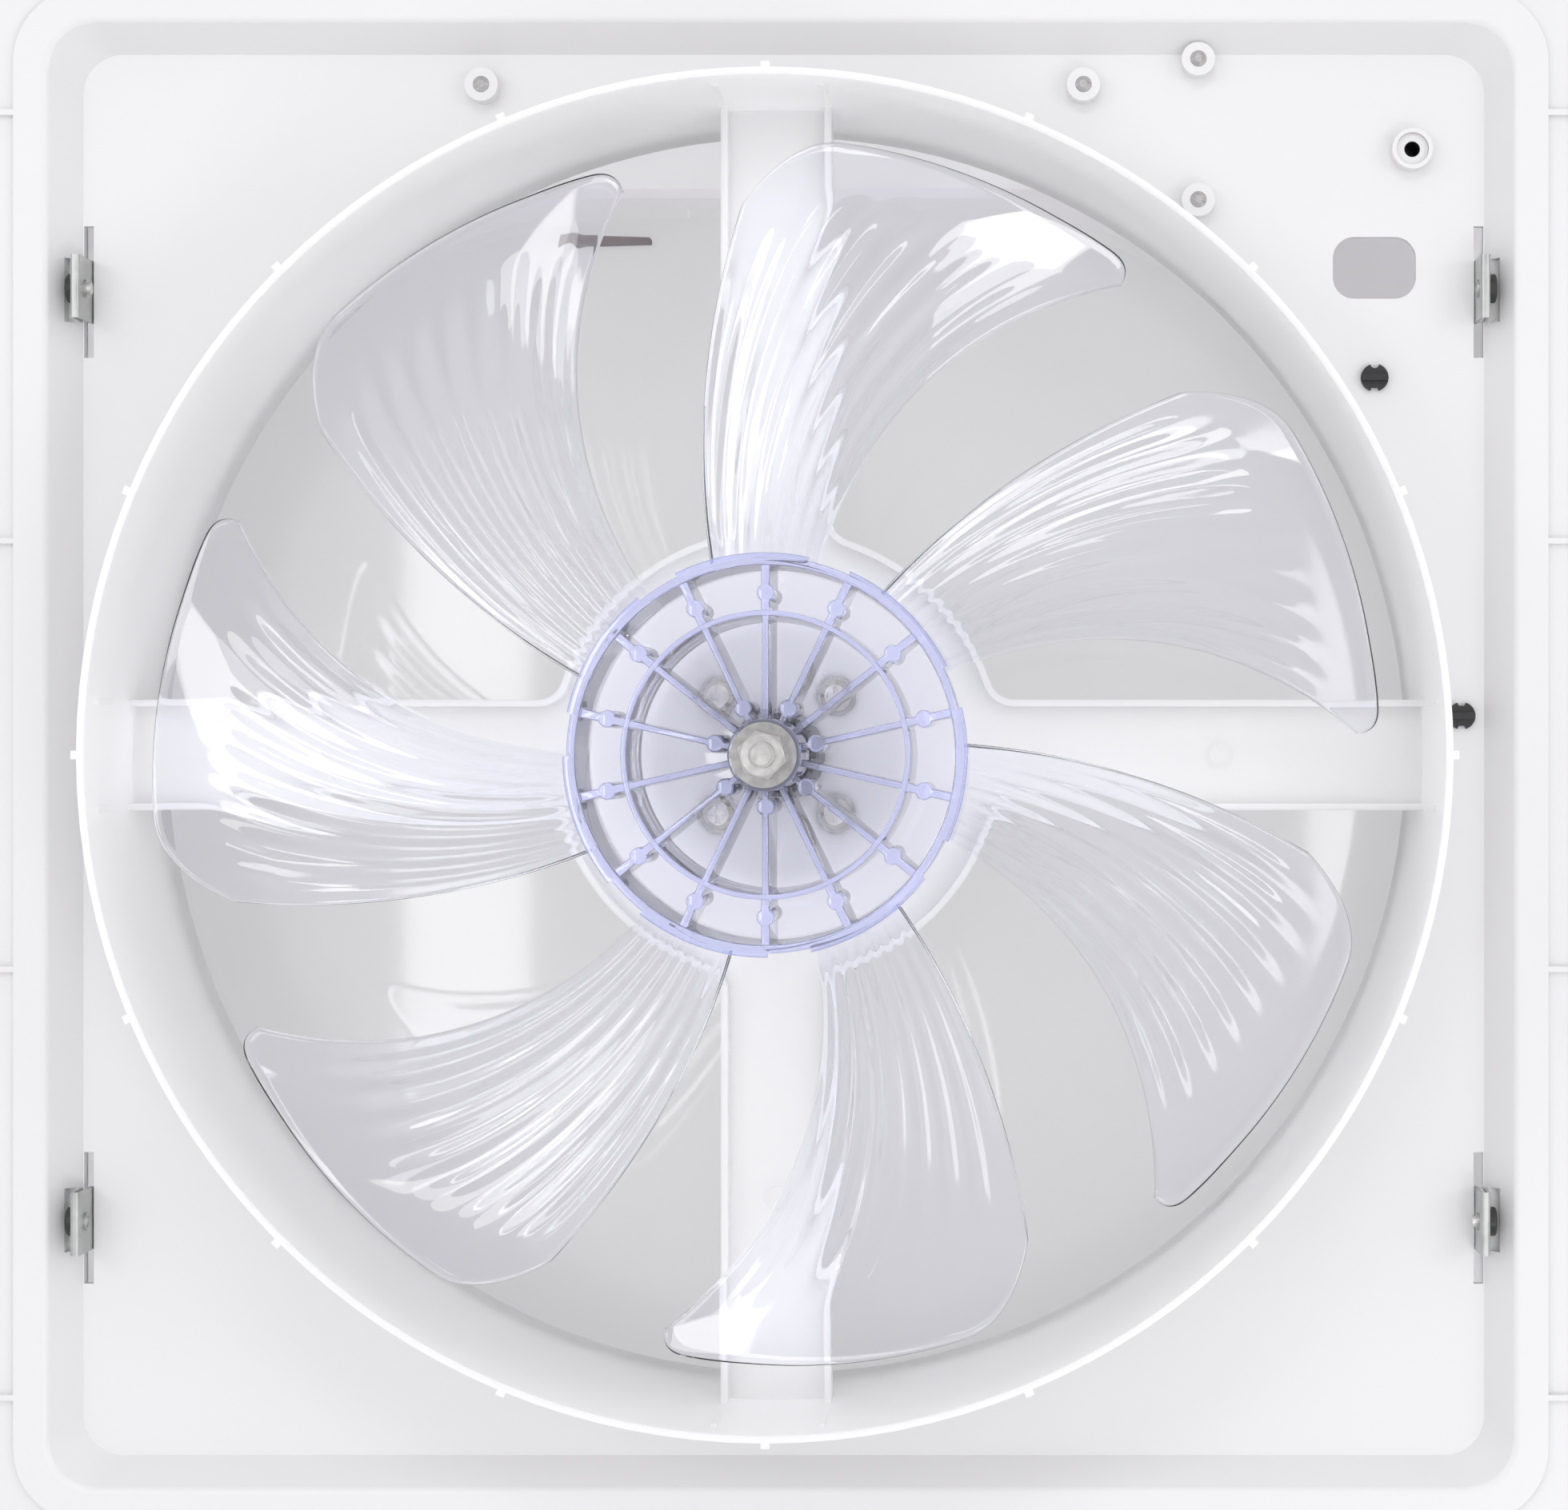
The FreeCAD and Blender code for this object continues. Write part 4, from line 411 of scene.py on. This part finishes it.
def blade_point(s, t, side, share):
    """A point of the blade at span share s and chord share t; the face towards the cabin has side -1."""
    radius = BLADE_ROOT + s * (blade_tip_radius(t) - BLADE_ROOT)
    reach = (radius - BLADE_ROOT) / (BLADE_TIP - BLADE_ROOT)
    lead = ROOT_LEAD_ANGLE - ROOT_LEAD_ANGLE * reach
    trail = ROOT_TRAIL_ANGLE + TRAIL_SWEEP * reach ** SWEEP_POWER
    angle = math.radians(lead + t * (trail - lead))
    lead_z = BLADE_LEAD_Z + BLADE_LEAD_RISE * reach
    camber = BLADE_CAMBER * 4.0 * t * (1.0 - t)
    z = lead_z + t * (BLADE_TRAIL_Z - lead_z) - camber
    thick = BLADE_THICK * (ROOT_THICK_SHARE - THICK_FALL * reach)
    z += thick * (0.5 + 0.5 * side * share)
    if side < 0:
        fade = 1.0 - smooth_step(FLUTE_FADE_START, FLUTE_FADE_END, s)
        growth = smooth_step(0.0, FLUTE_FULL, reach)
        deep = FLUTE_DEEP * (FLUTE_ROOT_SHARE + (1.0 - FLUTE_ROOT_SHARE) * growth)
        z += flute(t) * deep * fade * share
    return (-radius * math.sin(angle), radius * math.cos(angle), z)


def blade_chord(s):
    """Rough length of the chord at a span share."""
    radius = BLADE_ROOT + s * (BLADE_TIP - BLADE_ROOT)
    return math.radians(CHORD_ANGLE + CHORD_GAIN * s) * radius * CHORD_SLANT


def stations(steps, both_ends):
    """Steps from 0 to 1: plain shares, with distances in millimetres from the rounded ends."""
    ends = [BLADE_EDGE * (1.0 - math.cos(0.5 * math.pi * k / EDGE_STEPS)) for k in range(EDGE_STEPS)]
    start = [("start", distance) for distance in ends] if both_ends else []
    middle = [("share", k / steps) for k in range(steps + 1)]
    return start + middle + [("end", distance) for distance in reversed(ends)]


def blade_mesh():
    """Vertices and faces of one closed fluted blade with a rounded rim."""
    across = stations(CHORD_STEPS, True)
    along = stations(SPAN_STEPS, False)
    points, faces, index = [], [], {}
    span = BLADE_TIP - BLADE_ROOT

    def vertex(i, j, side):
        key = (i, j, 0 if i in (0, len(across) - 1) or j == len(along) - 1 else side)
        if key not in index:
            kind, value = along[j]
            s = value * (1.0 - BLADE_EDGE / span) if kind == "share" else 1.0 - value / span
            tip_gap = BLADE_EDGE if kind == "share" else value
            chord = blade_chord(s)
            kind, value = across[i]
            border = BLADE_EDGE / chord
            if kind == "share":
                t, gap = border + value * (1.0 - 2.0 * border), BLADE_EDGE
            else:
                t, gap = (value / chord if kind == "start" else 1.0 - value / chord), value
            index[key] = len(points)
            points.append(blade_point(s, t, key[2], edge_share(gap) * edge_share(tip_gap)))
        return index[key]

    def add(corners):
        ring = [c for k, c in enumerate(corners) if c != corners[k - 1]]
        if len(ring) > 2:
            faces.append(ring)

    for i in range(len(across) - 1):
        for j in range(len(along) - 1):
            for side in (1, -1):
                corners = [vertex(i, j, side), vertex(i + 1, j, side),
                           vertex(i + 1, j + 1, side), vertex(i, j + 1, side)]
                add(corners if side > 0 else corners[::-1])
        add([vertex(i, 0, -1), vertex(i + 1, 0, -1), vertex(i + 1, 0, 1), vertex(i, 0, 1)])
    return points, faces


def turned_points(points, degrees):
    """Points turned about the fan axis."""
    turn = Matrix.Rotation(math.radians(degrees), 3, "Z")
    return [tuple(turn @ Vector(p)) for p in points]


def revolve_mesh(profile, segments=192, start=0.0, span=360.0):
    """Closed mesh from a closed profile of radius and height, turned fully or part of the way."""
    points, faces = [], []
    whole = span >= 360.0
    rings = segments if whole else segments + 1
    size = len(profile)
    for step in range(rings):
        angle = math.radians(start + span * step / segments)
        points += [(-r * math.sin(angle), r * math.cos(angle), z) for r, z in profile]
    for step in range(segments):
        low, high = step * size, ((step + 1) % rings) * size
        for k in range(size):
            n = (k + 1) % size
            faces.append([low + k, low + n, high + n, high + k])
    if not whole:
        faces.append(list(range(size)))
        faces.append(list(range(segments * size, rings * size))[::-1])
    return points, faces


def rounded_profile(corners, steps=4):
    """Closed profile whose corners (radius, height, rounding) are rounded by short arcs."""
    profile = []
    for k, (x, y, rounding) in enumerate(corners):
        if rounding == 0.0:
            profile.append((x, y))
            continue
        here = Vector((x, y))
        before = (Vector(corners[k - 1][:2]) - here).normalized()
        after = (Vector(corners[(k + 1) % len(corners)][:2]) - here).normalized()
        start, end = here + before * rounding, here + after * rounding
        for step in range(steps + 1):
            u = step / steps
            point = start.lerp(here, u).lerp(here.lerp(end, u), u)
            profile.append((point.x, point.y))
    return profile


def prism_mesh(profile, low, high):
    """Closed bar along Y from a closed profile of x and z."""
    size = len(profile)
    points = [(x, y, z) for y in (low, high) for x, z in profile]
    faces = [list(range(size)), list(range(size, 2 * size))[::-1]]
    for k in range(size):
        n = (k + 1) % size
        faces.append([k, k + size, n + size, n])
    return points, faces


def post_mesh(radius, low, high, x, y, rounding=0.5, segments=40):
    """Closed upright pin with a rounded near end."""
    rows = [(radius, high), (radius, low + rounding)]
    for step in range(1, EDGE_STEPS + 1):
        angle = 0.5 * math.pi * step / EDGE_STEPS
        rows.append((radius - rounding * (1.0 - math.cos(angle)), low + rounding * (1.0 - math.sin(angle))))
    points, faces = [], []
    for r, z in rows:
        for step in range(segments):
            angle = 2.0 * math.pi * step / segments
            points.append((x + r * math.cos(angle), y + r * math.sin(angle), z))
    for k in range(len(rows) - 1):
        low_row, high_row = k * segments, (k + 1) * segments
        for step in range(segments):
            n = (step + 1) % segments
            faces.append([low_row + step, low_row + n, high_row + n, high_row + step])
    faces.append(list(range(segments))[::-1])
    faces.append(list(range((len(rows) - 1) * segments, len(rows) * segments)))
    return points, faces


def mesh_object(name, points, faces):
    """Object from points in millimetres, with its faces turned outwards."""
    mesh = bpy.data.meshes.new(name)
    mesh.from_pydata([tuple(MM * c for c in p) for p in points], [], faces)
    shape = bmesh.new()
    shape.from_mesh(mesh)
    bmesh.ops.recalc_face_normals(shape, faces=shape.faces)
    shape.to_mesh(mesh)
    shape.free()
    item = bpy.data.objects.new(name, mesh)
    bpy.context.scene.collection.objects.link(item)
    return item


def hub_pieces():
    """Closed meshes whose union is the hub: ring, ribs, pads and rim lips."""
    pieces = []
    sunk = HUB_FLOOR + OVERLAP
    inner = RING_RADIUS - RING_WALL
    pieces.append(revolve_mesh(rounded_profile([
        (inner, RING_NEAR, THIN_ROUND), (RING_RADIUS, RING_NEAR, THIN_ROUND),
        (RING_RADIUS + RING_DRAFT, sunk, 0.0), (inner - RING_DRAFT, sunk, 0.0)])))
    for step in range(RIB_COUNT):
        angle = 360.0 * step / RIB_COUNT
        for thick, start, end in ((RIB_THICK, RIB_ROOT, RING_RADIUS),
                                  (RIB_OUTER, RING_RADIUS - RING_WALL / 2, HUB_RADIUS - HUB_WALL / 2)):
            half = thick / 2
            bar = rounded_profile([(-half, sunk, 0.0), (-half, RIB_NEAR, RIB_ROUND),
                                   (half, RIB_NEAR, RIB_ROUND), (half, sunk, 0.0)])
            points, faces = prism_mesh(bar, start, end)
            pieces.append((turned_points(points, angle), faces))
        for spot in ((PAD_SPOT, INNER_PAD_SPOT) if step % 2 else (PAD_SPOT,)):
            points, faces = post_mesh(PAD_DIA / 2, PAD_NEAR, sunk, 0.0, spot)
            pieces.append((turned_points(points, angle), faces))
    mid_wall, lip_edge, lip_back = HUB_RADIUS - HUB_WALL / 2, HUB_RADIUS + LIP_DEEP, HUB_NEAR + LIP_HIGH
    lip = rounded_profile([(mid_wall, HUB_NEAR, 0.0), (lip_edge, HUB_NEAR, THIN_ROUND),
                           (lip_edge, lip_back, THIN_ROUND), (mid_wall, lip_back, 0.0)])
    for step in range(BLADE_COUNT):
        pieces.append(revolve_mesh(lip, LIP_STEPS, 360.0 * step / BLADE_COUNT - LIP_START, LIP_SPAN))
    return pieces


def make_impeller(material):
    """Clear impeller as one closed mesh: cup hub, ribs and seven fluted blades."""
    inside = HUB_RADIUS - HUB_WALL
    cup = rounded_profile([
        (BORE_RADIUS, BOSS_NEAR, 0.0), (BOSS_RADIUS, BOSS_NEAR, BOSS_ROUND),
        (BOSS_RADIUS, HUB_FLOOR, BOSS_FILLET), (inside, HUB_FLOOR, CUP_FILLET), (inside, HUB_NEAR, RIM_ROUND),
        (HUB_RADIUS, HUB_NEAR, RIM_ROUND), (HUB_RADIUS, HUB_BACK, BACK_ROUND), (BORE_RADIUS, HUB_BACK, 0.0)])
    impeller = mesh_object("clear_impeller", *revolve_mesh(cup))
    pieces = hub_pieces()
    points, faces = blade_mesh()
    for step in range(BLADE_COUNT):
        pieces.append((turned_points(points, 360.0 * step / BLADE_COUNT), faces))
    union = bpy.data.collections.new("impeller_union")
    for number, (points, faces) in enumerate(pieces):
        item = mesh_object("impeller_piece_%d" % number, points, faces)
        bpy.context.scene.collection.objects.unlink(item)
        union.objects.link(item)
    bpy.context.scene.collection.children.link(union)
    join = impeller.modifiers.new("union", "BOOLEAN")
    join.operation = "UNION"
    join.solver = "MANIFOLD"
    join.operand_type = "COLLECTION"
    join.collection = union
    whole = bpy.data.meshes.new_from_object(impeller.evaluated_get(bpy.context.evaluated_depsgraph_get()))
    impeller.modifiers.clear()
    impeller.data = whole
    for item in list(union.objects):
        bpy.data.objects.remove(item)
    bpy.data.collections.remove(union)
    whole.shade_smooth()
    whole.set_sharp_from_angle(angle=math.radians(SHARP_ANGLE))
    whole.materials.clear()
    whole.materials.append(material)
    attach(impeller, "fan")
    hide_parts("impeller")


# Lamps below the fan: place, width and height in metres, and power in watts. Then the floor, in metres.
SOFT_BOXES = {
    "box_up": ((0.0, 0.80, -1.35), 0.60, 0.30, 2.0),
    "box_right": ((-1.05, 0.15, -1.20), 0.35, 0.60, 2.1),
    "box_low_right": ((-0.55, -0.60, -1.30), 0.35, 0.35, 1.9),
    "box_left": ((0.85, 0.40, -1.25), 0.30, 0.50, 1.6),
}
STRIPS = {
    "strip_left": ((0.325, -0.02, -1.40), 0.085, 0.42, 0.65),
    "strip_far_left": ((0.46, -0.02, -1.40), 0.025, 0.42, 0.20),
    "strip_right": ((-0.275, -0.06, -1.40), 0.06, 0.42, 0.45),
}
FLOOR_LEVEL, FLOOR_HALF = -1.7, 4.0


def area_light(name, place, wide, high, power, target=None):
    """A rectangular lamp facing a target, or straight up with its sides along X and Y."""
    data = bpy.data.lights.new(name, "AREA")
    data.shape = "RECTANGLE"
    data.size = wide
    data.size_y = high
    data.energy = power
    light = bpy.data.objects.new(name, data)
    bpy.context.scene.collection.objects.link(light)
    light.location = place
    if target is None:
        light.rotation_euler = (math.pi, 0.0, 0.0)
    else:
        aim = Vector(target) - Vector(place)
        light.rotation_euler = aim.to_track_quat("-Z", "Y").to_euler()
    light.visible_camera = False


def set_world():
    """Pale surround at a plain level, as in a light tent."""
    world = bpy.data.worlds.new("studio")
    bpy.context.scene.world = world
    world.use_nodes = True
    background = world.node_tree.nodes["Background"]
    background.inputs["Color"].default_value = (0.985, 0.98, 1.0, 1.0)
    background.inputs["Strength"].default_value = 1.0


def set_light():
    """Soft boxes aimed at the fan, and strips that face straight up, round the camera."""
    for name, (place, wide, high, power) in SOFT_BOXES.items():
        area_light(name, place, wide, high, power, CENTRE)
    for name, (place, wide, high, power) in STRIPS.items():
        area_light(name, place, wide, high, power)


def set_floor():
    """A pale floor well below the camera."""
    mesh = bpy.data.meshes.new("floor")
    corners = [(FLOOR_HALF * x, FLOOR_HALF * y, FLOOR_LEVEL) for x, y in ((-1, -1), (1, -1), (1, 1), (-1, 1))]
    mesh.from_pydata(corners, [], [(0, 1, 2, 3)])
    floor = bpy.data.objects.new("floor", mesh)
    bpy.context.scene.collection.objects.link(floor)
    material, tree, shader = new_material("floor")
    tree.links.new(colour_mix(tree, noise(tree, scale=3.0), (0.85, 0.85, 0.85), (0.88, 0.88, 0.88)),
                   shader.inputs["Base Color"])
    shader.inputs["Roughness"].default_value = 0.9
    mesh.materials.append(material)


set_camera()
materials = make_materials()
dress_nodes(materials)
make_impeller(materials["clear_blade"])
set_world()
set_light()
set_floor()
bpy.context.scene.view_settings.view_transform = "Standard"
